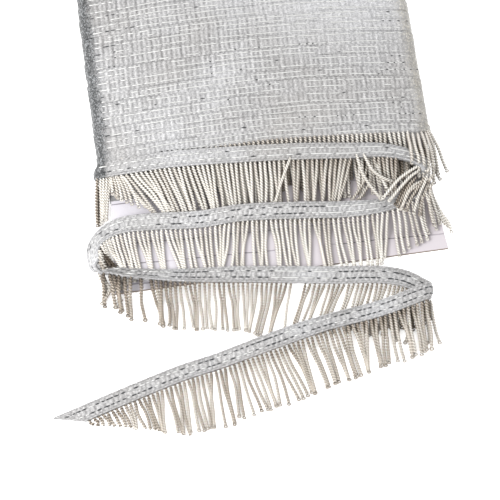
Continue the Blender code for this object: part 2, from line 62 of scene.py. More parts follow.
def headingVector(degrees):
    return Vector((math.cos(math.radians(degrees)), math.sin(math.radians(degrees)), 0.0))


def wander(rng, strength, longest):
    # a smooth random curve: three sine waves of falling strength
    waves = [(rng.uniform(0.7, 1.4) * k, rng.uniform(0.0, 2.0 * math.pi), strength / k) for k in (1, 2, 3)]
    return lambda place: sum(a * math.sin(2.0 * math.pi * f * place / longest + p) for f, p, a in waves)


def curvePoint(start, end, leaving, arriving, t):
    # a point of the smooth curve between two places, from the pulls at its ends
    place = start * (2 * t**3 - 3 * t**2 + 1) + end * (3 * t**2 - 2 * t**3)
    return place + (leaving * (t**3 - 2 * t**2 + t) + arriving * (t**3 - t**2))


def lineMarks(points):
    # how far along a line each of its points lies
    marks = [0.0]
    for before, after in zip(points, points[1:]):
        marks.append(marks[-1] + (after - before).length)
    return marks


def spanAt(marks, distance):
    # which stretch of a line a distance falls in, and how far through it
    i = 0
    while i < len(marks) - 2 and marks[i + 1] < distance:
        i += 1
    return i, (distance - marks[i]) / max(1e-6, marks[i + 1] - marks[i])


def keepMesh(mesh, name):
    data = bpy.data.meshes.new(name)
    mesh.to_mesh(data)
    mesh.free()
    return data


def addObject(name, data):
    thing = bpy.data.objects.new(name, data)
    bpy.context.scene.collection.objects.link(thing)
    return thing


def newLayers(mesh, *names):
    return [mesh.verts.layers.float.new(name) for name in names]


def finishPiece(name, mesh, materials, slot, *replaced):
    bmesh.ops.recalc_face_normals(mesh, faces=mesh.faces)
    bmesh.ops.scale(mesh, vec=(toMetres,) * 3, verts=mesh.verts)
    data = keepMesh(mesh, name)
    data.shade_smooth()
    for material in materials:
        data.materials.append(material)
    piece = addObject(name, data)
    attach(piece, "root")
    if replaced:
        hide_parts(*replaced)
    print(name, "triangles:", sum(len(face.vertices) - 2 for face in data.polygons))
    return piece


# Materials

# a colour mix takes its factor in socket 0 and its colours in 6 and 7, and gives the result in output 2
colorMix = {"data_type": "RGBA"}


def srgb(hexCode, dim=1.0):
    channels = [int(hexCode[i:i + 2], 16) / 255.0 for i in (1, 3, 5)]
    return (*[dim * (c / 12.92 if c <= 0.04045 else ((c + 0.055) / 1.055) ** 2.4) for c in channels], 1.0)


def feed(tree, node, inputs):
    # inputs are plain values or the sockets that lead into them
    for name, value in inputs.items():
        if isinstance(value, bpy.types.NodeSocket):
            tree.links.new(value, node.inputs[name])
        else:
            node.inputs[name].default_value = value


def addNode(tree, kind, inputs=None, settings=None, output=0):
    # adds a node with its settings and links, and hands back one of its outputs
    node = tree.nodes.new("ShaderNode" + kind)
    for name, value in (settings or {}).items():
        setattr(node, name, value)
    feed(tree, node, inputs or {})
    return node.outputs[output]


def newMaterial(name, roughness, metallic):
    material = bpy.data.materials.new(name)
    material.use_nodes = True
    shader = material.node_tree.nodes["Principled BSDF"]
    feed(material.node_tree, shader, {"Roughness": roughness, "Metallic": metallic})
    return material, material.node_tree, shader


weave = {
    "crest": "#b0afaf", "groove": "#717070", "tint": "#93908d", "pale": "#bcbdc0", "leftSide": "#86888a",
    "leftDark": "#2b2d2e", "rightSide": "#b3b0a8", "rightDark": "#87837b", "threadMm": 0.42, "grainMm": 0.8,
    "speckMm": 0.5, "patchMm": 26.0, "bumpMm": 0.15, "speckle": (0.72, 1.22), "mottle": (0.8, 1.18),
    # the painted shade of the sides: from and to this far out, and how strongly each takes hold
    "sideSpan": (61.5, 67.0), "sideReach": (("left", -1.6), ("right", 1.15)),
    # soft patches: colour, the noise at their fullest, strength
    "patches": (("tint", 0.72, 0.45), ("pale", 0.3, 0.3)),
    # where the weave catches the light, in metres: x, y, full to, gone by, strength
    "sheens": ((0.045, 0.01, 0.015, 0.065, 0.75), (-0.045, -0.078, 0.01, 0.04, 0.12)), "sheenZ": 0.01,
}


def wovenMetalThread(name, shade):
    # silver lurex woven over a rayon warp: satin crests, grooves painted darker as shade, a fine glitter of
    # thread crossings
    material, tree, shader = newMaterial(name, roughness=0.5, metallic=0.15)
    place = addNode(tree, "TexCoord", output="Object")
    relief, side = [addNode(tree, "Attribute", {}, {"attribute_name": layer}, "Fac") for layer in
                    ("relief", "side")]
    threads, specks = [addNode(tree, "TexVoronoi", {"Vector": place, "Scale": 1000.0 / weave[pitch]},
                               output="Color") for pitch in ("threadMm", "speckMm")]
    cell = addNode(tree, "SeparateColor", {"Color": threads})
    speckCell = addNode(tree, "SeparateColor", {"Color": specks}, output="Green")
    glint = addNode(tree, "MapRange", {"Value": speckCell, "From Min": 0.5, "From Max": 1.0})
    grain = addNode(tree, "TexNoise", {"Vector": place, "Scale": 1000.0 / weave["grainMm"], "Detail": 2.0,
                                       "Roughness": 0.7})
    patches = addNode(tree, "TexNoise", {"Vector": place, "Scale": 1000.0 / weave["patchMm"], "Detail": 3.0})
    layers = []  # laid one over the other: soft patches, light catches, then the shaded sides
    for tint, full, most in weave["patches"]:
        span = {"Value": patches, "From Min": 0.5, "From Max": full, "To Max": most}
        layers.append((span, srgb(weave[tint])))
    for x, y, near, far, most in weave["sheens"]:
        gap = addNode(tree, "VectorMath", {0: place, 1: (x, y, weave["sheenZ"])}, {"operation": "DISTANCE"},
                      "Value")
        span = {"Value": gap, "From Min": far, "From Max": near, "To Max": most}
        layers.append((span, srgb(weave["pale"])))
    # painted shade: the winding's two sides darkened, flecked with lit specks
    for hand, reach in weave["sideReach"]:
        ragged = addNode(tree, "Math", {0: side, 1: reach, 2: cell}, {"operation": "MULTIPLY_ADD"})
        span = {"Value": ragged, "From Min": 1.0, "From Max": 1.9, "To Max": 0.97}
        dark, lit = srgb(weave[hand + "Dark"]), srgb(weave[hand + "Side"])
        layers.append((span, addNode(tree, "Mix", {0: glint, 6: dark, 7: lit}, colorMix, 2)))
    # painted shade: by the relief attribute the grooves take the darker groove colour and the crests the
    # lighter one
    groove, crest = srgb(weave["groove"]), srgb(weave["crest"])
    color = addNode(tree, "Mix", {0: relief, 6: groove, 7: crest}, colorMix, 2)
    for span, tint in layers:
        color = addNode(tree, "Mix", {0: addNode(tree, "MapRange", span), 6: color, 7: tint}, colorMix, 2)
    low, high = weave["speckle"]
    speck = addNode(tree, "MapRange", {"Value": cell, "To Min": low * shade, "To Max": high * shade})
    low, high = weave["mottle"]
    mottle = addNode(tree, "MapRange", {"Value": grain, "From Min": 0.3, "From Max": 0.7, "To Min": low,
                                        "To Max": high})
    light = addNode(tree, "Math", {0: speck, 1: mottle}, {"operation": "MULTIPLY"})
    light = addNode(tree, "CombineColor", {"Red": light, "Green": light, "Blue": light})
    color = addNode(tree, "Mix", {0: 1.0, 6: color, 7: light}, {**colorMix, "blend_type": "MULTIPLY"}, 2)
    bump = addNode(tree, "Bump", {"Height": threads.node.outputs["Distance"], "Strength": 0.5,
                                  "Distance": weave["bumpMm"] * toMetres})
    feed(tree, shader, {"Base Color": color, "Normal": bump})
    return material


plateMetal = {"bright": "#dededc", "dark": "#3f4143", "dull": 0.62, "wearScale": 900.0}


def plateThread(name, hexCode, roughness):
    # flat metal plate thread that floats over the weave and mirrors the room, bright or dark by its turn;
    # the dark copy is a painted dark reflection
    material, tree, shader = newMaterial(name, roughness, metallic=0.35)
    place = addNode(tree, "TexCoord", output="Object")
    wear = addNode(tree, "TexNoise", {"Vector": place, "Scale": plateMetal["wearScale"], "Detail": 2.0})
    clean, worn = srgb(hexCode), srgb(hexCode, plateMetal["dull"])
    color = addNode(tree, "Mix", {0: wear, 6: clean, 7: worn}, colorMix, 2)
    feed(tree, shader, {"Base Color": color})
    return material


# the cord's colours: crest and groove of the plies, the groove painted darker as shade; shade, shadeGroove
# and deep are painted shade for shaded strands, deep the darkest
bullion = {"crest": "#dad8d3", "groove": "#ada9a1", "shade": "#a2978a", "shadeGroove": "#352b20",
           "deep": "#33281b", "wrapMm": 0.22, "bumpMm": 0.1}


def twistedBullion(name):
    # soft metal cord of two plies: warm silver crests, painted brown shade where the plies meet, and a
    # painted shade per vertex that darkens crests and grooves, deepening to dark brown
    material, tree, shader = newMaterial(name, roughness=0.45, metallic=0.12)
    place = addNode(tree, "TexCoord", output="Object")
    relief, tone = [addNode(tree, "Attribute", {}, {"attribute_name": layer}, "Fac") for layer in
                    ("relief", "tone")]
    crest, groove, shade, shadeGroove, deep = [srgb(bullion[part]) for part in
                                               ("crest", "groove", "shade", "shadeGroove", "deep")]
    # painted shade: crests and grooves darken towards shade and shadeGroove as the shade attribute rises,
    # and past one towards deep
    crest = addNode(tree, "Mix", {0: tone, 6: crest, 7: shade}, colorMix, 2)
    groove = addNode(tree, "Mix", {0: tone, 6: groove, 7: shadeGroove}, colorMix, 2)
    depth = addNode(tree, "Math", {0: tone, 1: 1.0}, {"operation": "SUBTRACT", "use_clamp": True})
    color = addNode(tree, "Mix", {0: relief, 6: groove, 7: crest}, colorMix, 2)
    color = addNode(tree, "Mix", {0: depth, 6: color, 7: deep}, colorMix, 2)
    wraps = addNode(tree, "TexNoise", {"Vector": place, "Scale": 1000.0 / bullion["wrapMm"], "Detail": 1.0})
    bump = addNode(tree, "Bump", {"Height": wraps, "Strength": 0.3,
                                  "Distance": bullion["bumpMm"] * toMetres})
    feed(tree, shader, {"Base Color": color, "Normal": bump})
    return material


card = {
    "paper": "#b1abaf", "litPaper": "#bbb8be", "edge": "#6e6259", "line": "#4a444d", "paperX": 0.03,
    "lightX": -0.06, "linePitchMm": 8.9, "lineWidthMm": 0.32, "lineSlope": 0.02, "lineWaver": 0.0016,
    "waverScale": 55.0, "lineStrength": 0.75, "lineFade": 2.2, "broken": (0.38, 0.52), "cloudScale": 40.0,
    "flatSpan": (0.2, 0.4), "fibreMm": 0.6, "bumpMm": 0.1,
}


def ruledPaper(name):
    # thin uncoated card, mauve grey, ruled by hand with a pencil
    material, tree, shader = newMaterial(name, roughness=0.85, metallic=0.0)
    place = addNode(tree, "TexCoord", output="Object")
    cloud = addNode(tree, "TexNoise", {"Vector": place, "Scale": card["cloudScale"], "Detail": 3.0})
    waver = addNode(tree, "TexNoise", {"Vector": place, "Scale": card["waverScale"], "Detail": 1.0})
    x = addNode(tree, "SeparateXYZ", {"Vector": place})
    across = x.node.outputs["Y"]
    for value, factor in ((x, card["lineSlope"]), (waver, card["lineWaver"])):
        across = addNode(tree, "Math", {0: value, 1: factor, 2: across}, {"operation": "MULTIPLY_ADD"})
    half, pitch = card["lineWidthMm"] * toMetres / 2, card["linePitchMm"] * toMetres
    faded = half * card["lineFade"]
    repeat = addNode(tree, "Math", {0: across, 1: pitch / 2}, {"operation": "PINGPONG"})
    stroke = addNode(tree, "MapRange", {"Value": repeat, "From Min": half, "From Max": faded,
                                        "To Min": card["lineStrength"], "To Max": 0.0})
    low, high = card["broken"]
    broken = addNode(tree, "MapRange", {"Value": cloud, "From Min": low, "From Max": high})
    pencil = addNode(tree, "Math", {0: stroke, 1: broken}, {"operation": "MULTIPLY"})
    # painted light: the card is painted paler towards its left side, nearer the lamp
    paler = addNode(tree, "MapRange", {"Value": x, "From Min": card["paperX"], "From Max": card["lightX"]})
    trueNormal = addNode(tree, "NewGeometry", output="True Normal")
    upward = addNode(tree, "SeparateXYZ", {"Vector": trueNormal}, output="Z")
    upward = addNode(tree, "Math", {0: upward}, {"operation": "ABSOLUTE"})
    low, high = card["flatSpan"]
    flat = addNode(tree, "MapRange", {"Value": upward, "From Min": low, "From Max": high})
    near, far, line, edge = [srgb(card[part]) for part in ("paper", "litPaper", "line", "edge")]
    color = addNode(tree, "Mix", {0: paler, 6: near, 7: far}, colorMix, 2)
    color = addNode(tree, "Mix", {0: pencil, 6: color, 7: line}, colorMix, 2)
    color = addNode(tree, "Mix", {0: flat, 6: edge, 7: color}, colorMix, 2)
    fibre = addNode(tree, "TexNoise", {"Vector": place, "Scale": 1000.0 / card["fibreMm"], "Detail": 2.0})
    bump = addNode(tree, "Bump", {"Height": fibre, "Strength": 0.15, "Distance": card["bumpMm"] * toMetres})
    feed(tree, shader, {"Base Color": color, "Normal": bump})
    return material


wovenWinding = wovenMetalThread("wovenMetalThreadWinding", shade=1.0)
# the tape's copy is painted a little darker than the winding's, as shade
wovenTape = wovenMetalThread("wovenMetalThreadTape", shade=0.92)
brightPlate = plateThread("brightPlateThread", plateMetal["bright"], roughness=0.28)
darkPlate = plateThread("darkPlateThread", plateMetal["dark"], roughness=0.35)
strandMetal = twistedBullion("twistedBullion")
cardPaper = ruledPaper("ruledCard")
print("materials made")


# Where things lie: the same sizes as the solids

roll = {
    "halfWidth": 70.0, "farY": 85.0, "frontY": -82.0, "rows": 30, "skew": 1.6, "edgeHeight": 9.2,
    "crown": 6.6, "buildUpRows": 5, "firstLayer": 1.4, "sideLayer": 3.8, "uneven": 0.2, "frontStep": 2.6,
    "noseY": -99.0, "noseLayer": 1.7, "noseLump": 0.35, "rowRun": 0.7, "seam": 0.3,
}
cardShape = {
    "thick": 1.2, "frontY": -135.0, "halfWidth": 65.6, "frontSpread": 3.0, "middle": 4.6,
    "arch": 3.2, "bendY": -80.0, "slant": 1.6, "archFade": 1.25,
}
tape = {"width": 7.0, "strandThick": 1.5, "layer": 2.1, "cutDeg": 32.0, "cutTipShare": 0.06}
ease = {"rows": 4.5, "nose": 6.75, "routeSteps": 24, "crease": 2.0}
strandLie = tape["strandThick"] / 2
cutLength = tape["width"] / math.tan(math.radians(tape["cutDeg"]))

# a place on the tape's middle, its rise off what lies below, and its roll in degrees, fringe up below 0
RoutePoint = namedtuple("RoutePoint", "x y rise roll", defaults=(0.0,))
Fold = namedtuple("Fold", "edgeX edgeY lineDeg arriveDeg radius startZ turn arriveTilt leaveTilt onEdge",
                  defaults=(0.0, 0.0, False))
Hang = namedtuple("Hang", "along headingDeg reach lift", defaults=(0.0,))
Shading = namedtuple("Shading", "startTone endTone fromShare toShare startGirth endGirth")
Reach = namedtuple("Reach", "atMiddle slope")

folds = [Fold(*entry) for entry in (
    (-70.8, -83.8, -90, 180, 4.2, 1.4, 1), (64.6, -102.8, -90, -50, 2, 13.5, -1, -28, -28),
    (-74.6, -125.4, -49, -94, 2.6, 3.5, 1, -58, -38, True), (58.6, -152.8, -101.7, -38, 2.4, 0.75, 1),
)]
routes = [[RoutePoint(*entry) for entry in route] for route in (
    ((-58, -84.9, 0.8), (-39, -85.3, 0.8), (-10.8, -87.1, 0.3), (15, -88.7, 0.1), (34, -90.3, 0.2, -8),
     (50, -92.2, 1.2, -22)),
    ((48.8, -113.4, 2.2, -32), (30, -113.4, 1.1, -8), (10.6, -111.6, 0.8), (-13.8, -109.9, 0.6),
     (-30.4, -110.4, 0.5), (-50.8, -109.2, 0.7), (-63.5, -109.4, 0.9, -16), (-71, -112, 1.4, -38),
     (-75, -116.8, 3, -52)),
    ((-61.4, -130.6, 1.3, -38), (-42, -133.7, 0.5, -22), (-17.2, -136.2, 0.2, -8), (22.2, -140.6, 0.1),
     (37, -142.3, 0.3), (48, -144.9, 0.3)),
    ((37.1, -158, 0.1), (13.5, -161.7, 0.1), (-4.1, -165.7, 0.1), (-19, -169.3, 0.9), (-32, -172.2, 0),
     (-46.5, -175.4, 0), (-75.6, -184.3, 0), (-97.6, -191.6, 0)),
)]
reaches = (Reach(-105.3, -0.02), Reach(-114.4, -0.04), Reach(-138.2, -0.03), Reach(-166.3, -0.18))


def rollTop(x):
    return roll["edgeHeight"] + roll["crown"] * (1.0 - (x / roll["halfWidth"]) ** 2)


def cardHeight(x, y):
    drop = smoothStep((cardShape["bendY"] - y) / (cardShape["bendY"] - cardShape["frontY"]))
    fade = 1.0 - smoothStep(cardShape["archFade"] * drop)
    arch = cardShape["arch"] * (1.0 - (x / roll["halfWidth"]) ** 2) * fade
    return mix(cardShape["middle"], cardShape["thick"] / 2, drop) + arch


def skew(x):
    return -roll["skew"] * x / roll["halfWidth"]


def noseTop(x, rowY):
    share = max(0.0, min(1.0, (roll["frontY"] - rowY) / (roll["frontY"] - roll["noseY"])))
    cardTop = cardHeight(x, rowY + skew(x)) + cardShape["thick"] / 2
    return mix(rollTop(x) - roll["frontStep"], cardTop + roll["noseLayer"], share)


def bedHeight(x, y):
    rowY = y - skew(x)
    if rowY > roll["noseY"]:
        return noseTop(x, rowY) + roll["noseLump"]
    noseEase = max(0.0, 1.0 - (roll["noseY"] - rowY) / ease["nose"])
    leftEdge = -cardShape["halfWidth"] - cardShape["frontSpread"]
    leftEase = 1.0 - smoothStep((leftEdge - x) / ease["rows"])
    frontY = cardShape["frontY"] - cardShape["slant"]
    frontEase = max(0.0, 1.0 - max(0.0, frontY - y) / ease["rows"])
    surface = cardHeight(x, max(y, frontY)) + cardShape["thick"] / 2
    return (surface + (roll["noseLayer"] + roll["noseLump"]) * noseEase) * leftEase * frontEase


def lyingHeight(x, y, row):
    bed = bedHeight(x, y)
    count = 0.0
    for reach in reaches[:row]:
        pastTips = reach.atMiddle + reach.slope * x - y
        count += max(0.0, min(1.0, 1.0 - pastTips / ease["rows"]))
    return bed + (roll["seam"] if bed > 0.0 else 0.0) + count * tape["layer"] + strandLie


Station = namedtuple("Station", "place onward fringed face along pull", defaults=(Vector(),))


def edgeStation(fold, share, side, along):
    # the tape stands on its plain edge, goes round a corner and lies down on its other side
    def outwardAt(degrees):
        return headingVector(degrees - 90.0 * fold.turn)

    degrees = mix(fold.arriveDeg, leaveDeg(fold), share)
    place = Vector((fold.edgeX, fold.edgeY, fold.startZ))
    place += (outwardAt(degrees) - outwardAt((fold.arriveDeg + leaveDeg(fold)) / 2)) * fold.radius
    onward = headingVector(degrees)
    tilt = math.radians(mix(fold.arriveTilt, -180.0 - fold.leaveTilt, share))
    fringed = -outwardAt(degrees) * math.cos(tilt) - up * math.sin(tilt)
    return Station(place, onward, fringed, onward.cross(fringed) * (fold.turn * side), along)


def leaveDeg(fold):
    return 2.0 * fold.lineDeg - fold.arriveDeg


def foldLength(fold):
    turned = math.radians(abs(leaveDeg(fold) - fold.arriveDeg)) if fold.onEdge else math.pi
    return turned * fold.radius


def foldStation(fold, angle, side, along=0.0):
    # half a turn of a coil about the fold line
    if fold.onEdge:
        return edgeStation(fold, angle / math.pi, side, along)
    line, arrive = headingVector(fold.lineDeg), headingVector(fold.arriveDeg)
    outward = arrive - line * arrive.dot(line)
    advance = arrive.dot(line) / outward.length
    outward.normalize()
    place = Vector((fold.edgeX, fold.edgeY, fold.startZ))
    place += line * (advance * fold.radius * (angle - math.pi / 2))
    place += outward * (fold.radius * (math.sin(angle) - 1.0))
    place += up * (fold.turn * fold.radius * (1.0 - math.cos(angle)))
    around = outward * math.cos(angle) + up * (fold.turn * math.sin(angle))
    slope = math.atan2(1.0, advance)
    onward = line * math.cos(slope) + around * math.sin(slope)
    fringed = line * math.sin(slope) - around * math.cos(slope)
    normal = up * math.cos(angle) - outward * (fold.turn * math.sin(angle))
    tilt = math.radians(mix(fold.arriveTilt, -fold.leaveTilt, (1.0 - math.cos(angle)) / 2))
    face = (normal * math.cos(tilt) + fringed * math.sin(tilt)) * side
    fringed = fringed * math.cos(tilt) - normal * math.sin(tilt)
    pull = outward * (-ease["crease"] * math.sin(angle) ** 2)
    return Station(place, onward.normalized(), fringed.normalized(), face.normalized(), along, pull)


def smoothRoute(places, startDeg, endDeg):
    tangents = [headingVector(startDeg)]
    for before, here, after in zip(places, places[1:], places[2:]):
        tangents.append((after - before) / ((here - before).length + (after - here).length))
    tangents.append((places[-1] - places[-2]).normalized() if endDeg is None else headingVector(endDeg))
    curve = []
    for i in range(len(places) - 1):
        span = (places[i + 1] - places[i]).length
        for step in range(ease["routeSteps"]):
            place = curvePoint(places[i], places[i + 1], tangents[i] * span, tangents[i + 1] * span,
                               step / ease["routeSteps"])
            place.z = max(place.z, strandLie)
            curve.append(place)
    curve.append(places[-1])
    return curve


class Run:
    # one stretch of the tape between two folds, measured along its middle

    def __init__(self, row, start, route, end, fringeHand, side):
        places, self.tilts = [start[0]], [math.radians(start[2])]
        for point in route:
            plain = lyingHeight(point.x, point.y + tape["width"] / 2, row)
            fringed = lyingHeight(point.x, point.y - tape["width"] / 2, row)
            height = max(lyingHeight(point.x, point.y, row), (plain + fringed) / 2)
            places.append(Vector((point.x, point.y, height + point.rise)))
            self.tilts.append(math.atan2(plain - fringed, tape["width"]) + math.radians(point.roll))
        if end is not None:
            places.append(end[0])
            self.tilts.append(math.radians(end[2]))
        self.curve = smoothRoute(places, start[1], end[1] if end else None)
        self.marks = lineMarks(self.curve)
        self.length = self.marks[-1]
        self.fringeHand, self.side = fringeHand, side

    def station(self, distance, along=0.0):
        i, share = spanAt(self.marks, distance)
        place = self.curve[i].lerp(self.curve[i + 1], share)
        span, part = divmod((i + share) / ease["routeSteps"], 1.0)
        span = min(int(span), len(self.tilts) - 2)
        tilt = mix(self.tilts[span], self.tilts[span + 1], part)
        before, after = self.curve[max(0, i - 1)], self.curve[min(len(self.curve) - 1, i + 2)]
        onward = (after - before).normalized()
        level = Vector((-onward.y, onward.x, 0.0)).normalized() * self.fringeHand
        fringed = level * math.cos(tilt) - up * math.sin(tilt)
        face = onward.cross(fringed) * self.fringeHand
        return Station(place, onward, (face.cross(onward) * self.fringeHand).normalized(),
                       (face * self.side).normalized(), along)


def foldedRuns():
    runs, side, hand = [], -1, -1
    for i, route in enumerate(routes):
        start = (foldStation(folds[i], math.pi, side).place, leaveDeg(folds[i]), folds[i].leaveTilt)
        end = None
        if i + 1 < len(folds):
            fold = folds[i + 1]
            end = (foldStation(fold, 0.0, side).place, fold.arriveDeg, fold.arriveTilt)
        runs.append(Run(i + 1, start, route, end, hand, side))
        side, hand = -side, -hand
    return runs


runs = foldedRuns()
print("runs laid out, lengths:", [round(run.length) for run in runs])


# Winding: overlapping rows of ribbed heading round the card, one closed body

winding = {
    "topSteps": 260, "sideSteps": 11, "bottomSteps": 40, "ribMm": 2.03, "ribHeight": 0.1, "grain": 0.14,
    "sideRadius": 4.6, "sideStretch": 1.6, "bottomRelief": 0.7, "waver": 0.22, "waverMm": 140.0,
    "lump": 0.28, "lumpMm": 90.0, "noseSink": 1.9, "noseSteps": 8, "noseInset": (3.0, 4.5), "noseTip": 1.5,
    "noseRelief": 0.8, "slotSteps": 5, "uneven": 0.75, "seed": 5,
    # the last row's near edge meets the loose heading at the left and draws back from it at the right
    "lastBack": (-3.0, 1.0), "lastSpanX": (-66.0, 8.0),
}
noseTipY = roll["noseY"] + winding["noseTip"]
# across one row, from its far edge to its near one: place, height and how much of the rib shows
RowPoint = namedtuple("RowPoint", "share height rib")
rowProfile = [RowPoint(*entry) for entry in (
    (0, 0.06, 0.5), (0.05, 0.15, 0.6), (0.15, 0.14, 1), (0.25, 0.04, 0.6), (0.36, 0.1, 1), (0.64, 0.06, 1),
    (0.75, -0.06, 0.6), (0.88, 0, 1), (1, -0.08, 0.5),
)]


def ribWave(place, phase=0.0):
    # the ribs of the weave, every other one fuller
    turn = 2.0 * math.pi / winding["ribMm"]
    return 0.72 * math.cos(turn * place + phase) + 0.28 * math.cos(turn / 2 * place + phase)


def rowEdges(rng):
    step = (roll["farY"] - roll["frontY"]) / roll["rows"]
    shifts = [rng.uniform(-winding["uneven"], winding["uneven"]) for _ in range(roll["rows"] - 1)]
    return [roll["farY"] - i * step + shift for i, shift in enumerate([0.0, *shifts, 0.0])]


class Row:
    # one row of the winding; share runs from its far edge to its near one

    def __init__(self, index, edges, rng):
        self.farY, self.step = edges[index], edges[index] - edges[index + 1]
        self.growth = smoothStep((index + 1.0) / roll["buildUpRows"])
        layer = mix(roll["firstLayer"], roll["sideLayer"], self.growth)
        self.left = cardShape["halfWidth"] + layer + rng.uniform(-roll["uneven"], roll["uneven"])
        self.right = cardShape["halfWidth"] + layer + rng.uniform(-roll["uneven"], roll["uneven"])
        self.rng, self.phase = rng, rng.uniform(0.0, 2.0 * math.pi)
        self.waver = wander(rng, winding["waver"], winding["waverMm"])
        self.lump = wander(rng, winding["lump"], winding["lumpMm"])
        self.isLast = index == roll["rows"] - 1

    def y(self, share, x):
        back = mix(*winding["lastBack"], easeBetween(x, *winding["lastSpanX"])) if self.isLast else 0.0
        return self.farY - share * (self.step - back) + skew(x) + self.waver(x)

    def top(self, x):
        thin = cardHeight(x, self.farY) + cardShape["thick"] / 2 + roll["firstLayer"]
        return mix(thin, rollTop(x), self.growth) + self.lump(x)

    def bottom(self, x):
        return mix(cardHeight(x, self.farY) - cardShape["thick"] / 2 - roll["firstLayer"], 0.0, self.growth)


def aroundPlaces():
    parts = (("top", "topSteps"), ("right", "sideSteps"), ("bottom", "bottomSteps"), ("left", "sideSteps"))
    places = [(part, i / winding[steps]) for part, steps in parts for i in range(winding[steps])]
    return places + places[:1]


def sectionPoint(part, share, left, right, top, bottom, raised, rib):
    # a point of the outline round the winding and how high its rib stands there, 0 to 1
    radius = winding["sideRadius"]
    flatLeft, flatRight = radius - left, right - radius
    if part == "bottom":
        x = mix(flatRight, flatLeft, share)
        return x, bottom(x), winding["bottomRelief"]
    if part == "top":
        x = mix(flatLeft, flatRight, share)
        wave = ribWave(x, rib[0])
        return x, top(x) + raised + rib[1] * wave, 0.5 + 0.5 * wave
    edge, sign = (flatRight, 1.0) if part == "right" else (flatLeft, -1.0)
    angle = math.pi / 2 * sign * (1.0 - 2.0 * share)
    high, low = top(edge) + raised, bottom(edge)
    wave = ribWave(radius * winding["sideStretch"] * angle, rib[0])
    out = radius + raised + rib[1] * wave
    height = (high + low) / 2 + (high - low) / 2 * math.sin(angle)
    return edge + sign * out * math.cos(angle), height, 0.5 + 0.5 * wave


def slotPoint(part, share, y):
    wide, gap = cardShape["halfWidth"] + roll["seam"], cardShape["thick"] / 2 + roll["seam"]
    if part in ("top", "bottom"):
        x = mix(-wide, wide, share if part == "top" else 1.0 - share)
        return x, cardHeight(x, y) + (gap if part == "top" else -gap)
    sign = 1.0 if part == "right" else -1.0
    return sign * wide, cardHeight(wide, y) + gap * sign * (1.0 - 2.0 * share)


def windingSections(rows):
    sections = []
    around = aroundPlaces()
    sideStart, sideEnd = weave["sideSpan"]
    for row in rows:
        for point in rowProfile:
            ring = []
            for part, share in around:
                rib = (row.phase, winding["ribHeight"] * point.rib)
                x, z, relief = sectionPoint(part, share, row.left, row.right, row.top, row.bottom,
                                            point.height, rib)
                relief = mix(0.5, relief, point.rib) + row.rng.uniform(-winding["grain"], winding["grain"])
                side = math.copysign(max(0.0, min(1.0, (abs(x) - sideStart) / (sideEnd - sideStart))), x)
                ring.append((Vector((x, row.y(point.share, x), z)), relief, side))
            sections.append(ring)
    for step in range(winding["noseSteps"]):
        share = step / (winding["noseSteps"] - 1)
        rowY = mix(roll["frontY"] - roll["rowRun"], noseTipY, share)
        half = roll["halfWidth"] - mix(*winding["noseInset"], share)

        def top(x, rowY=rowY):
            return noseTop(x, rowY) - winding["noseSink"]

        ring = []
        for part, place in around:
            x, z, _ = sectionPoint(part, place, half, half, top, lambda x: 0.0, 0.0, (0.0, 0.0))
            # painted light: the nose takes a high relief, so it is paler than the shade it lies in under the
            # strands
            ring.append((Vector((x, rowY + skew(x), z)), winding["noseRelief"], 0.0))
        sections.append(ring)
    for step in range(winding["slotSteps"]):
        y = mix(noseTipY, roll["farY"], step / (winding["slotSteps"] - 1))
        ring = []
        for part, share in around:
            x, z = slotPoint(part, share, y)
            ring.append((Vector((x, y + skew(x), z)), 0.0, 0.0))
        sections.append(ring)
    return sections + sections[:1]


def gridBetween(mesh, sections):
    # a flat grid whose points are then moved to the sections' places
    layers = newLayers(mesh, "relief", "side")
    across, along = len(sections[0]) - 1, len(sections) - 1
    first = len(mesh.verts)
    bmesh.ops.create_grid(mesh, x_segments=across, y_segments=along, size=1.0)
    mesh.verts.ensure_lookup_table()
    for vert in mesh.verts[first:]:
        i = round((vert.co.x + 1.0) / 2.0 * across)
        j = round((vert.co.y + 1.0) / 2.0 * along)
        vert.co, *values = sections[j][i]
        for layer, value in zip(layers, values):
            vert[layer] = value


rowRng = random.Random(winding["seed"])
edges = rowEdges(rowRng)
rows = [Row(i, edges, rowRng) for i in range(roll["rows"])]
mesh = bmesh.new()
gridBetween(mesh, windingSections(rows))
bmesh.ops.remove_doubles(mesh, verts=mesh.verts, dist=weldMm)
finishPiece("windingRows", mesh, [wovenWinding], "heading_metal_thread", "wound_roll")


# Plate threads floating over the rows and over the loose heading

plate = {
    "half": 0.26, "high": 0.1, "taper": 0.4, "lift": 0.12, "step": 0.78, "shortest": 1.5, "longest": 16.0,
    "gap": 0.6, "gapSpread": (0.5, 1.6), "darkLengths": (1.3, 2.2), "uneven": 0.07, "broken": 0.06,
    "brokenSide": 0.22, "sideSpan": (40.0, 55.0), "sideLongest": 5.0, "margin": 4.8, "hidden": 0.14,
    "hiddenMm": (2.0, 13.0), "dashMm": (0.8, 1.2), "dashGapMm": (1.2, 3.0), "dashLift": 0.05,
    "seamX": (-43.0, -19.0), "seamY": (-80.3, -81.9), "seamGapMm": (0.7, 1.7), "seed": 9,
    # the two lines of a row: share across it and level over it
    "rows": ((0.25, 0.04), (0.75, -0.06)),
}
plateAcross = Vector((0.0, 1.0, 0.1))
# where short dark stretches of plate, a painted dark reflection, show on the winding: from x, to x, y
darkStretches = (
    (57, 69, -27.7), (20, 28, -37.2), (58, 62, -44.6), (56, 63, -48.3), (55, 68, -51.8), (51, 54, -55.4),
    (55, 56, -65.2), (55, 60, -68), (57, 68, -74.3), (58, 58, -71.1), (15, 22, -73.6), (31, 39, -74.3),
    (35, 38, -60.9), (-7, -4, -36.3), (3, 4, -37), (-18, -17, -40.4), (-18, -17, -43.4), (-18, -17, -45.7),
    (-6, -4, -46.7), (0, 1, -53.6), (5, 6, -56.6), (-61, -61, -25.8), (-57, -57, -28.6), (-57, -54, -32.3),
    (-60, -57, -35), (-13, -12, -61), (-43, -42, -57.1), (-56, -55, -51.7),
)


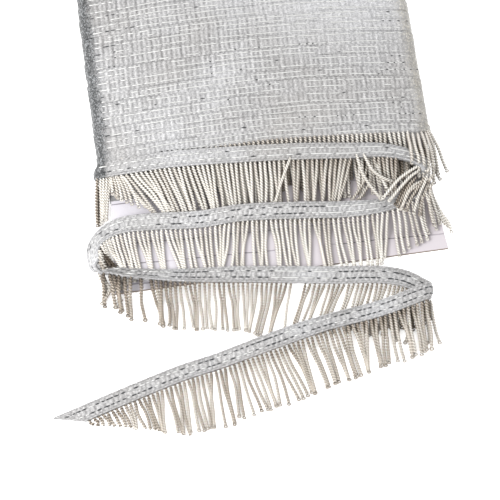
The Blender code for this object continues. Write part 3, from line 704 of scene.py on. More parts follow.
def plateTemplate(steps):
    # a flat four-sided bar along Z with tapered ends, one unit long
    mesh = bmesh.new()
    ring = bmesh.ops.create_circle(mesh, segments=4, radius=1.0, cap_ends=True)["verts"]
    face = mesh.faces[:][0]
    for step in range(steps):
        face = bmesh.ops.extrude_discrete_faces(mesh, faces=[face])["faces"][0]
        bmesh.ops.translate(mesh, verts=face.verts, vec=(0.0, 0.0, 1.0 / steps))
    for verts in (ring, face.verts):
        middle = sum((v.co for v in verts), Vector()) / len(verts)
        for vert in verts:
            vert.co = middle + (vert.co - middle) * plate["taper"]
    return keepMesh(mesh, "plateTemplate")


plateTemplates = {}


def layPlate(mesh, start, end, placeAt, isDark):
    # placeAt gives the middle, the sideways and the upward vector at a distance
    steps = max(2, round((end - start) / plate["step"]))
    if steps not in plateTemplates:
        plateTemplates[steps] = plateTemplate(steps)
    firstVert, firstFace = len(mesh.verts), len(mesh.faces)
    mesh.from_mesh(plateTemplates[steps])
    mesh.verts.ensure_lookup_table()
    mesh.faces.ensure_lookup_table()
    frames = {}
    for vert in mesh.verts[firstVert:]:
        key = round(vert.co.z * steps)
        if key not in frames:
            frames[key] = placeAt(mix(start, end, key / steps))
        middle, sideways, upward = frames[key]
        vert.co = middle + sideways * (vert.co.x * plate["half"]) + upward * (vert.co.y * plate["high"])
    for face in mesh.faces[firstFace:]:
        face.material_index = 1 if isDark else 0


def platesAlong(mesh, start, end, placeAt, rng, mood, hidden=0.0):
    # mood gives the longest bright plate and the share of dark ones at a distance
    distance = start
    while distance < end - plate["shortest"]:
        if rng.random() < hidden:
            distance += rng.uniform(*plate["hiddenMm"])
            continue
        longest, darkShare = mood(distance)
        isDark = rng.random() < darkShare
        length = rng.uniform(*plate["darkLengths"]) if isDark else rng.uniform(plate["shortest"], longest)
        layPlate(mesh, distance, min(end, distance + length), placeAt, isDark)
        distance += length + plate["gap"] * rng.uniform(*plate["gapSpread"])


class PlateLine:
    # one line of plate thread along a row

    def __init__(self, row, share, level, rng):
        self.row, self.level = row, level
        self.share = share + rng.uniform(-plate["uneven"], plate["uneven"])
        self.broken = rng.uniform(0.0, plate["broken"])
        self.brokenSide = rng.uniform(0.0, plate["brokenSide"])

    def placeAt(self, x, lift=0.0):
        z = self.row.top(x) + self.level + plate["lift"] + lift
        z += 0.5 * winding["ribHeight"] * ribWave(x, self.row.phase)
        return Vector((x, self.row.y(self.share, x), z)), plateAcross, up

    def mood(self, x):
        nearSide = easeBetween(abs(x), *plate["sideSpan"])
        longest = mix(plate["longest"], plate["sideLongest"], nearSide)
        return longest, mix(self.broken, self.brokenSide, nearSide)


plateRng = random.Random(plate["seed"])
mesh = bmesh.new()
plateLines = [PlateLine(row, *line, plateRng) for row in rows for line in plate["rows"]]
for line in plateLines:
    platesAlong(mesh, plate["margin"] - line.row.left, line.row.right - plate["margin"], line.placeAt,
                plateRng, line.mood, plate["hidden"])


def layDashes(startX, endX, placeAt, gapMm=plate["dashGapMm"]):
    x = startX
    while x <= endX:
        length = plateRng.uniform(*plate["dashMm"])
        layPlate(mesh, x, x + length, placeAt, True)
        x += length + plateRng.uniform(*gapMm)


def seamPlace(x):
    # dark dashes of painted shade along the far edge of the first loose heading, where it meets the last row
    startX, endX = plate["seamX"]
    y = mix(*plate["seamY"], (x - startX) / (endX - startX))
    return Vector((x, y, rows[-1].top(x) + plate["lift"])), plateAcross, up


for startX, endX, y in darkStretches:
    line = min(plateLines, key=lambda line: abs(line.row.y(line.share, startX) - y))
    layDashes(startX, endX, lambda x, line=line: line.placeAt(x, plate["dashLift"]))
# painted shade: dark plate dashes along where the first loose heading meets the winding
layDashes(*plate["seamX"], seamPlace, plate["seamGapMm"])
finishPiece("windingPlates", mesh, [brightPlate, darkPlate], "heading_metal_thread")
print("winding made")


# Loose heading: a ribbed tape through its folds and runs

heading = {
    "ribHeight": 0.13, "step": 0.5, "foldSteps": 20, "thick": 1.15, "scallop": 0.1, "scallopFrom": 0.9,
    "grain": 0.22, "leastRelief": 0.2, "darkTurn": (16.0, 12.0), "plateStart": 1.0, "plateWave": 0.05,
    "plateWiden": 1.2,
    # the two lines of plates: place across the tape and how far from its cut end they stop
    "plateLines": ((-1.35, 3.0), (1.35, 8.5)),
}
# by the distance from the tape's far end: longest bright plate and share of dark plates, which are painted
# dark reflection
plateMoods = (
    (0, 3, 0.4), (20, 4, 0.1), (60, 9, 0.08), (90, 15, 0.05), (150, 10, 0.1), (195, 2.6, 0.6),
    (255, 3, 0.35), (300, 4.5, 0.6), (345, 2.4, 0.75), (375, 7, 0.15), (400, 3, 0.8), (440, 2.6, 0.65),
    (530, 2.4, 0.6),
)
AcrossPoint = namedtuple("AcrossPoint", "share height rib relief")
headingAcross = [AcrossPoint(*entry) for entry in (
    (-1, -0.25, 0.2, 0.2), (-0.96, 0.1, -1, 0.9), (-0.88, 0.14, -1, 1), (-0.78, 0, 0.6, 0.3),
    (-0.6, 0.08, 1, 1), (-0.4, 0, 0.5, 0.6), (-0.2, 0.08, -1, 1),
)]
headingAcross += [point._replace(share=-point.share) for point in reversed(headingAcross)]


def tapeStations():
    stations, along = [], 0.0
    for fold, run in zip(folds, runs):
        turnLength = foldLength(fold)
        for step in range(heading["foldSteps"]):
            share = step / heading["foldSteps"]
            stations.append(foldStation(fold, math.pi * share, -run.side, along + turnLength * share))
        along += turnLength
        count = round(run.length / heading["step"])
        for step in range(count + (1 if run is runs[-1] else 0)):
            distance = run.length * step / count
            stations.append(run.station(distance, along + distance))
        along += run.length
    return stations, along


def cutReach(distanceToTip):
    kept = min(1.0, max(tape["cutTipShare"], distanceToTip / cutLength))
    return tape["width"] * (kept - 0.5)


def tapePlace(station, across, high):
    # a place on the tape, or over or under it; the inner side of a fold is drawn in at both edges
    place = station.place + station.fringed * across + station.face * high
    return place + station.pull * (2.0 * across / tape["width"]) ** 2


def headingSections(stations, whole):
    sections = []
    grainRng = random.Random(winding["seed"])
    for station in stations:
        reach = cutReach(whole - station.along)
        # painted shade: the first turn round the card's left carries on the shaded left side of the winding
        side = -easeBetween(station.along, *heading["darkTurn"])
        ring = []
        wave = ribWave(station.along)
        for upOrDown in (1, -1):
            for point in headingAcross[::upOrDown]:
                across = mix(-tape["width"] / 2, reach, (point.share + 1.0) / 2)
                if abs(point.share) > heading["scallopFrom"]:
                    across += math.copysign(heading["scallop"] * wave, point.share)
                high = heading["thick"] / 2 + point.height + heading["ribHeight"] * point.rib * wave
                place = tapePlace(station, across, high * upOrDown)
                place.z = max(place.z, 0.0)
                relief = point.relief * (0.5 + 0.5 * wave * (1.0 if point.rib > 0.0 else -1.0))
                relief = mix(heading["leastRelief"] * point.relief, 1.0, relief)
                relief += grainRng.uniform(-heading["grain"], heading["grain"])
                ring.append((place, relief, side))
        sections.append(ring + ring[:1])
    return sections


stations, headingLength = tapeStations()
mesh = bmesh.new()
gridBetween(mesh, headingSections(stations, headingLength))
bmesh.ops.remove_doubles(mesh, verts=mesh.verts, dist=weldMm)
bmesh.ops.holes_fill(mesh, edges=[edge for edge in mesh.edges if edge.is_boundary], sides=0)
looseHeading = finishPiece("looseHeading", mesh, [wovenTape], "heading_metal_thread", "tail_heading")


def tapeMood(distance):
    return [entry[1:] for entry in plateMoods if entry[0] <= distance][-1]


mesh = bmesh.new()
for across, unplated in heading["plateLines"]:
    for face in (1.0, -1.0):

        def placeAt(distance, across=across, face=face):
            nearest = round(distance / headingLength * (len(stations) - 1))
            station = stations[max(0, min(len(stations) - 1, nearest))]
            high = heading["thick"] / 2 + plate["lift"] + heading["plateWave"] * ribWave(station.along)
            middle = tapePlace(station, across, high * face)
            return middle, station.fringed * heading["plateWiden"], station.face

        platesAlong(mesh, heading["plateStart"], headingLength - unplated, placeAt, plateRng, tapeMood)
headingPlates = finishPiece("headingPlates", mesh, [brightPlate, darkPlate], "heading_metal_thread")
print("loose heading made, length mm:", round(headingLength))


# Bullion strands: two plies twisted hard, with a small loop at the tip

strand = {
    "sides": 8, "lobe": 0.84, "shoulder": (0.54, 0.38), "waist": 0.22, "reliefSpan": (0.34, 0.74),
    "lay": 2.4, "ringsPerTurn": 6, "edge": (0.4, 0.76), "edgeShade": 0.8, "neck": 0.5, "neckMm": 2.2,
    "loopRadius": 0.62, "loopWire": 0.34, "loopSides": 5, "loopSteps": 8, "loopRise": 0.7,
    "loopRelief": 0.5, "rootShadeMm": 7.0, "rootShade": 0.45, "rootTone": 1.2, "toneSpread": (-0.1, 0.3),
    "pitch": 1.95, "closest": 1.3, "length": 21.2, "lengthSpread": 0.7, "shortest": 1.6, "turnDeg": 1.6,
    "clumpSizes": (1, 2, 2, 3, 4), "clumpPull": 0.5, "clumpSpread": (0.4, 1.6), "clumpLean": 0.55,
    "tuck": 1.3, "skirtTuck": 2.8, "rootIn": 0.2, "rootSink": 0.35, "stripWidth": 1.5, "startGap": 0.5,
    "endGap": 0.3, "cutRate": 0.53, "lineSteps": 12, "sway": 0.7, "swaySpread": (0.3, 1.0),
    "swayTurn": 3.2, "swayFull": 0.5, "restGap": 0.12, "floorGap": 0.1, "droopShare": 0.3,
    "steepest": 0.75, "seed": 11,
}
ropeTemplates = {}


def ropeTemplate(turns, looped):
    # a figure of eight pulled up along Z while it turns, ended by a small loop of wire or cut off
    mesh = bmesh.new()
    bmesh.ops.create_circle(mesh, segments=strand["sides"], radius=1.0, cap_ends=True)
    shoulderX, shoulderY = strand["shoulder"]
    for vert in mesh.verts:
        if abs(vert.co.y) < weldMm:
            vert.co.x = math.copysign(strand["lobe"], vert.co.x)
        elif abs(vert.co.x) < weldMm:
            vert.co.y = math.copysign(strand["waist"], vert.co.y)
        else:
            vert.co = (math.copysign(shoulderX, vert.co.x), math.copysign(shoulderY, vert.co.y), 0.0)
    rings = max(2, round(turns * strand["ringsPerTurn"]))
    rise = strand["lay"] / strand["ringsPerTurn"]
    turn = Matrix.Rotation(2.0 * math.pi / strand["ringsPerTurn"], 3, "Z")
    face = mesh.faces[:][0]
    for ring in range(rings):
        face = bmesh.ops.extrude_discrete_faces(mesh, faces=[face])["faces"][0]
        bmesh.ops.rotate(mesh, verts=face.verts, cent=(0.0, 0.0, 0.0), matrix=turn)
        bmesh.ops.translate(mesh, verts=face.verts, vec=(0.0, 0.0, rise))
    start = len(mesh.verts)
    if not looped:
        return templateOf(mesh, start, rings * rise)
    center = Vector((0.0, 0.0, rings * rise + strand["loopRadius"] * strand["loopRise"]))
    wire = bmesh.ops.create_circle(mesh, segments=strand["loopSides"], radius=strand["loopWire"])["verts"]
    bmesh.ops.translate(mesh, verts=wire, vec=(strand["loopRadius"], 0.0, center.z))
    edges = [edge for edge in mesh.edges if edge.verts[0] in wire]
    bmesh.ops.spin(mesh, geom=wire + edges, cent=center, axis=(0.0, 1.0, 0.0), angle=2.0 * math.pi,
                   steps=strand["loopSteps"], use_merge=True)
    return templateOf(mesh, start, rings * rise)


def templateOf(mesh, ropeVerts, length):
    # keeps the rope as a mesh, with how high each of its vertices stands between groove and crest
    deep, high = strand["reliefSpan"]
    reliefs = [(math.hypot(*vert.co.xy) - deep) / (high - deep) for vert in mesh.verts]
    reliefs[ropeVerts:] = [strand["loopRelief"]] * (len(reliefs) - ropeVerts)
    return keepMesh(mesh, "ropeTemplate"), reliefs, length


def bendRope(mesh, layers, points, rollDeg, tone, looped=True, rootTone=0.0, girth=1.0):
    # lays a straight rope along a smooth line of points
    marks = lineMarks(points)
    tip = strand["loopRadius"] if looped else 0.0
    turns = max(1, round((marks[-1] - tip) / strand["lay"] * 2) / 2)
    if (turns, looped) not in ropeTemplates:
        ropeTemplates[turns, looped] = ropeTemplate(turns, looped)
    template, reliefs, ropeLength = ropeTemplates[turns, looped]
    first = len(mesh.verts)
    mesh.from_mesh(template)
    mesh.verts.ensure_lookup_table()
    spread = Matrix.Rotation(math.radians(rollDeg), 3, "Z")
    frames = {}
    for vert, relief in zip(mesh.verts[first:], reliefs):
        key = round(vert.co.z, 3)
        if key not in frames:
            distance = min(key, ropeLength) / ropeLength * (marks[-1] - tip)
            j, share = spanAt(marks, distance)
            onward = (points[j + 1] - points[j]).normalized()
            place = points[j].lerp(points[j + 1], share) + onward * max(0.0, key - ropeLength)
            sideways = onward.cross(up).normalized()
            size = girth * mix(strand["neck"], 1.0, smoothStep(distance / strand["neckMm"]))
            # painted shade near the root, where the strand comes out from under the heading
            vertShade = tone + rootTone * (1.0 - smoothStep(distance / strand["rootShadeMm"]))
            frames[key] = (place, sideways * size, sideways.cross(onward) * size, vertShade)
        place, sideways, upward, vertShade = frames[key]
        flat = vert.co if vert.co.z > ropeLength else spread @ vert.co
        # painted shade along the sides of each strand, darker where its plies turn away from the light
        edge = strand["edgeShade"] * easeBetween(abs(flat.x), *strand["edge"])
        vert.co = place + sideways * flat.x + upward * flat.y
        vert.co.z = max(vert.co.z, 0.0)
        vert[layers[0]], vert[layers[1]] = relief, vertShade + edge


def strandLine(root, fringed, headingDeg, length, row, lift, rng, tuck):
    # from under the heading's edge, drooping on to what lies below, with a slight sway
    way = headingVector(headingDeg)
    side = Vector((-way.y, way.x, 0.0))
    phase = rng.uniform(0.0, 2.0 * math.pi)
    sway = strand["sway"] * rng.uniform(*strand["swaySpread"])
    gap = max(0.0, root.z - (lyingHeight(root.x, root.y, row) + lift))
    steepest = strand["steepest"] * length / strand["lineSteps"]
    points = [root - fringed * tuck - up * strand["rootSink"]]
    for step in range(strand["lineSteps"] + 1):
        share = step / strand["lineSteps"]
        swaying = sway * smoothStep(share / strand["swayFull"])
        flat = root + way * (length * share)
        flat += side * (swaying * math.sin(phase + strand["swayTurn"] * share))
        rest = lyingHeight(flat.x, flat.y, row) + lift + strand["restGap"]
        droop = max(0.0, 1.0 - share / strand["droopShare"])
        flat.z = max(strandLie + strand["floorGap"], rest + gap * droop * droop, points[-1].z - steepest)
        if step == 0:
            flat.z = root.z
        points.append(flat)
    return points


def hangAt(table, share):
    for before, after in zip(table, table[1:]):
        if share <= after.along:
            part = (share - before.along) / (after.along - before.along)
            if before.reach == 0.0 or after.reach == 0.0:
                part = round(part)
            return [mix(a, b, part) for a, b in zip(before[1:], after[1:])]
    return list(table[-1][1:])


def clumps(count, rng):
    # how far each strand's tip is drawn sideways to its neighbours, in pitches
    drawn, i = [], 0
    while i < count:
        size = min(count - i, rng.choice(strand["clumpSizes"]))
        middle, pull = (size - 1) / 2, strand["clumpPull"] * rng.uniform(*strand["clumpSpread"])
        lean = rng.uniform(-strand["clumpLean"], strand["clumpLean"])
        drawn += [(middle - k) * pull + lean for k in range(size)]
        i += size
    return drawn


def strandRow(name, row, rowStations, offset, hangs, shading, cutAt, replaced):
    # cutAt gives how long a strand may be at a share of the row, or is None where nothing is cut
    mesh = bmesh.new()
    layers = newLayers(mesh, "relief", "tone")
    rng = random.Random(strand["seed"] + row)
    hangs = [Hang(*entry) for entry in hangs]
    count = len(rowStations) - 1
    drawn = clumps(count, rng)
    lastRoot = None
    for i, (before, after) in enumerate(zip(rowStations, rowStations[1:])):
        root = (before.place + after.place) / 2
        root += (before.fringed + after.fringed) / 2 * (offset + strand["rootIn"])
        if lastRoot and (root - lastRoot).length < strand["closest"]:
            continue
        lastRoot = root
        share = (i + 0.5) / count
        headingDeg, reach, lift = hangAt(hangs, share)
        spread = strand["lengthSpread"]
        length = reach * strand["length"] + strand["stripWidth"] + rng.uniform(-spread, spread)
        limit = cutAt(share) + strand["stripWidth"] if cutAt else math.inf
        looped = length < limit
        length = min(length, limit)
        if reach == 0.0 or length < strand["shortest"]:
            continue
        onwardDeg = math.degrees(math.atan2(before.onward.y, before.onward.x))
        sense = math.copysign(1.0, math.sin(math.radians(onwardDeg - headingDeg)))
        headingDeg += sense * math.degrees(drawn[i] * strand["pitch"] / strand["length"])
        headingDeg += rng.uniform(-strand["turnDeg"], strand["turnDeg"])
        tuck = strand["tuck"] if row else strand["skirtTuck"]
        points = strandLine(root, before.fringed, headingDeg, length, row, lift, rng, tuck)
        passed = easeBetween(share, shading.fromShare, shading.toShare)
        tone = mix(shading.startTone, shading.endTone, passed)
        girth = mix(shading.startGirth, shading.endGirth, passed)
        # painted shade at the roots: the runs' strands by their own shade, the skirt's less further along
        # the row
        rootTone = tone * strand["rootTone"] if row else strand["rootShade"] * (1.0 - passed)
        bendRope(mesh, layers, points, rng.uniform(0.0, 180.0), tone + rng.uniform(*strand["toneSpread"]),
                 looped, rootTone, girth)
    return finishPiece(name, mesh, [strandMetal], "bullion_strand", replaced)


# share along the run, direction, reach and lift; two entries close together make a parting
skirtHang = (
    (0, 302, 0.8), (0.12, 292, 0.9), (0.25, 282, 1), (0.4, 270, 1), (0.6, 264, 1), (0.85, 272, 1),
    (0.96, 276, 1), (0.961, 276, 0), (1, 276, 0),
)
runHangs = (
    ((0, 312, 0), (0.03, 312, 0), (0.031, 312, 0.75), (0.06, 306, 0.9), (0.1, 300, 1), (0.13, 294, 1),
     (0.17, 288, 1), (0.22, 283, 1), (0.345, 278, 1), (0.346, 272, 1), (0.42, 270, 1), (0.5, 264, 1),
     (0.501, 270, 1), (0.56, 267, 1), (0.561, 270, 0), (0.577, 270, 0), (0.578, 269, 1), (0.64, 263, 1),
     (0.7, 256, 1), (0.775, 250, 1), (0.776, 280, 0), (0.83, 280, 0), (0.831, 280, 0.72, -0.6),
     (0.93, 268, 0.72, -0.6), (0.931, 268, 0), (1, 268, 0)),
    ((0, 286, 0.5), (0.04, 279, 0.6), (0.1, 271, 0.7), (0.13, 266, 0.8), (0.17, 268, 0.9),
     (0.2, 269, 0.96), (0.28, 274, 0.92), (0.32, 268, 0.95), (0.4, 270, 0.94), (0.445, 273, 0.94),
     (0.446, 264, 0.93), (0.5, 262, 0.92), (0.57, 254, 0.93), (0.58, 266, 0.9), (0.66, 271, 0.88),
     (0.735, 281, 0.88), (0.736, 270, 0.86), (0.8, 275, 0.84), (0.87, 281, 0.82), (0.91, 288, 0.8),
     (0.94, 294, 0.78), (0.97, 296, 0.75), (1, 300, 0.65)),
    ((0, 262, 0.5), (0.05, 280, 0.55), (0.08, 268, 0.6), (0.105, 267, 0.64), (0.106, 267, 0),
     (0.122, 267, 0), (0.123, 267, 0.64), (0.135, 267, 0.66), (0.136, 280, 0), (0.15, 280, 0),
     (0.151, 278, 0.7), (0.165, 268, 0.72), (0.225, 263, 0.76), (0.25, 272, 0.78), (0.3, 267, 0.8),
     (0.43, 263, 0.84), (0.48, 255, 0.9), (0.54, 253, 1), (0.595, 248, 1), (0.596, 248, 0), (0.62, 248, 0),
     (0.621, 248, 1), (0.7, 243, 1), (0.8, 245, 1), (0.801, 246, 1, -0.05), (1, 252, 1, -0.05)),
    ((0, 267, 0.85), (0.06, 270, 0.86), (0.085, 275, 0.87), (0.13, 264, 0.88), (0.18, 268, 0.9),
     (0.21, 275, 0.92), (0.3, 280, 0.97), (0.4, 283, 1), (0.455, 288, 1.03), (0.475, 280, 1),
     (0.53, 284, 1), (0.55, 276, 1), (0.58, 272, 1), (0.605, 274, 1.08), (0.64, 268, 1.03), (0.7, 272, 1),
     (0.78, 275, 1), (0.84, 279, 1), (1, 295, 1)),
)
# painted shade along each row: tone at its start and its end, between two shares, and the strands' girth
# there
skirtShading = Shading(0.05, 0.1, 0.55, 0.85, 0.95, 1.0)
runShadings = (Shading(0.0, 0.3, 0.4, 0.75, 1.0, 1.0), Shading(0.05, 0.0, 0.1, 0.6, 0.92, 1.0),
               Shading(0.75, 0.45, 0.12, 0.35, 1.15, 0.92), Shading(0.35, 0.55, 0.05, 0.35, 1.05, 1.0))
skirt = {"startX": -60.0, "endX": 66.0, "raised": 1.2}


def skirtStations(startX, endX, y, height):
    count = round((endX - startX) / strand["pitch"])
    result = []
    for i in range(count + 1):
        x = mix(startX, endX, i / count)
        place = Vector((x, y + skew(x), 0.0))
        place.z = height(x, place.y)
        result.append(Station(place, Vector((1.0, 0.0, 0.0)), Vector((0.0, -1.0, 0.0)), up, x))
    return result


skirtY = roll["frontY"] - roll["rowRun"] - roll["seam"]
skirtPlaces = skirtStations(skirt["startX"], skirt["endX"], skirtY,
                            lambda x, y: lyingHeight(x, y - strand["stripWidth"], 0) + skirt["raised"])
fringePieces = [strandRow("skirtStrands", 0, skirtPlaces, 0.0, skirtHang, skirtShading, None,
                          "skirt_last_turn")]
for number, (run, hangs, shading) in enumerate(zip(runs, runHangs, runShadings), start=1):
    isLast = number == len(runs)
    end = run.length - strand["endGap"] - (cutLength if isLast else 0.0)

    def cutAt(share, end=end):
        return strand["cutRate"] * (end * (1.0 - share) + strand["endGap"])

    count = round((end - strand["startGap"]) / strand["pitch"])
    places = [run.station(mix(strand["startGap"], end, i / count)) for i in range(count + 1)]
    fringePieces.append(strandRow(f"runStrands{number}", number, places, tape["width"] / 2 + roll["seam"],
                                  hangs, shading, cutAt if isLast else None, f"tail_fringe_run_{number}"))
print("strands made")


# Strands of the turns below, seen shaded behind the loose ones

under = {
    "spanX": (-57.0, 66.0), "behind": 1.0, "lengthSpread": (-1.6, 2.4), "lean": 1.2, "slants": (0.5, -0.08),
    "slantSpanX": (-57.0, -7.0), "steps": 8, "sink": 0.9, "floorGap": 0.95, "fall": 0.5,
    "tones": (0.15, 0.9), "toneSpanX": (-45.0, 15.0), "toneSpread": 0.2, "seed": 31,
    # the two layers: how far along they start, how much lower they lie, and their reach
    "layers": ((0.0, -0.2, 17.5), (1.2, -2.2, 15.0)),
}
mesh = bmesh.new()
layers = newLayers(mesh, "relief", "tone")
underRng = random.Random(under["seed"])
for shift, lower, reach in under["layers"]:
    startX, endX = [x + shift for x in under["spanX"]]
    for station in skirtStations(startX, endX, skirtY + under["behind"], lambda x, y: 0.0):
        root, points = station.place, []
        length = reach + underRng.uniform(*under["lengthSpread"])
        lean = underRng.uniform(-under["lean"], under["lean"])
        slant = mix(*under["slants"], easeBetween(root.x, *under["slantSpanX"]))
        for step in range(under["steps"] + 1):
            share = step / under["steps"]
            x = root.x + lean * share + slant * share * length
            y = root.y - length * share
            rowY = y - skew(x)
            z = noseTop(x, max(rowY, roll["noseY"])) - under["sink"] + lower
            if rowY <= roll["noseY"]:
                floorZ = cardHeight(x, y) + cardShape["thick"] / 2 + under["floorGap"]
                z = max(floorZ, z - (roll["noseY"] - rowY) * under["fall"])
            points.append(Vector((x, y, z)))
        # painted shade: the strands below are darker towards the right, with a random spread
        tone = mix(*under["tones"], easeBetween(root.x, *under["toneSpanX"]))
        tone += underRng.uniform(-under["toneSpread"], under["toneSpread"])
        bendRope(mesh, layers, points, underRng.uniform(0.0, 180.0), tone)
finishPiece("underStrands", mesh, [strandMetal], "bullion_strand")
print("under strands made")


# Loose strands that lie across the others, laid one by one

stray = {"steps": 8, "toneSpread": 0.2, "seed": 23}


def sameHeights(heights, *strands):
    # strands that share their heights: each gives its painted shade and its places
    return [(tone, *[(*place, z) for place, z in zip(places, heights)]) for tone, *places in strands]
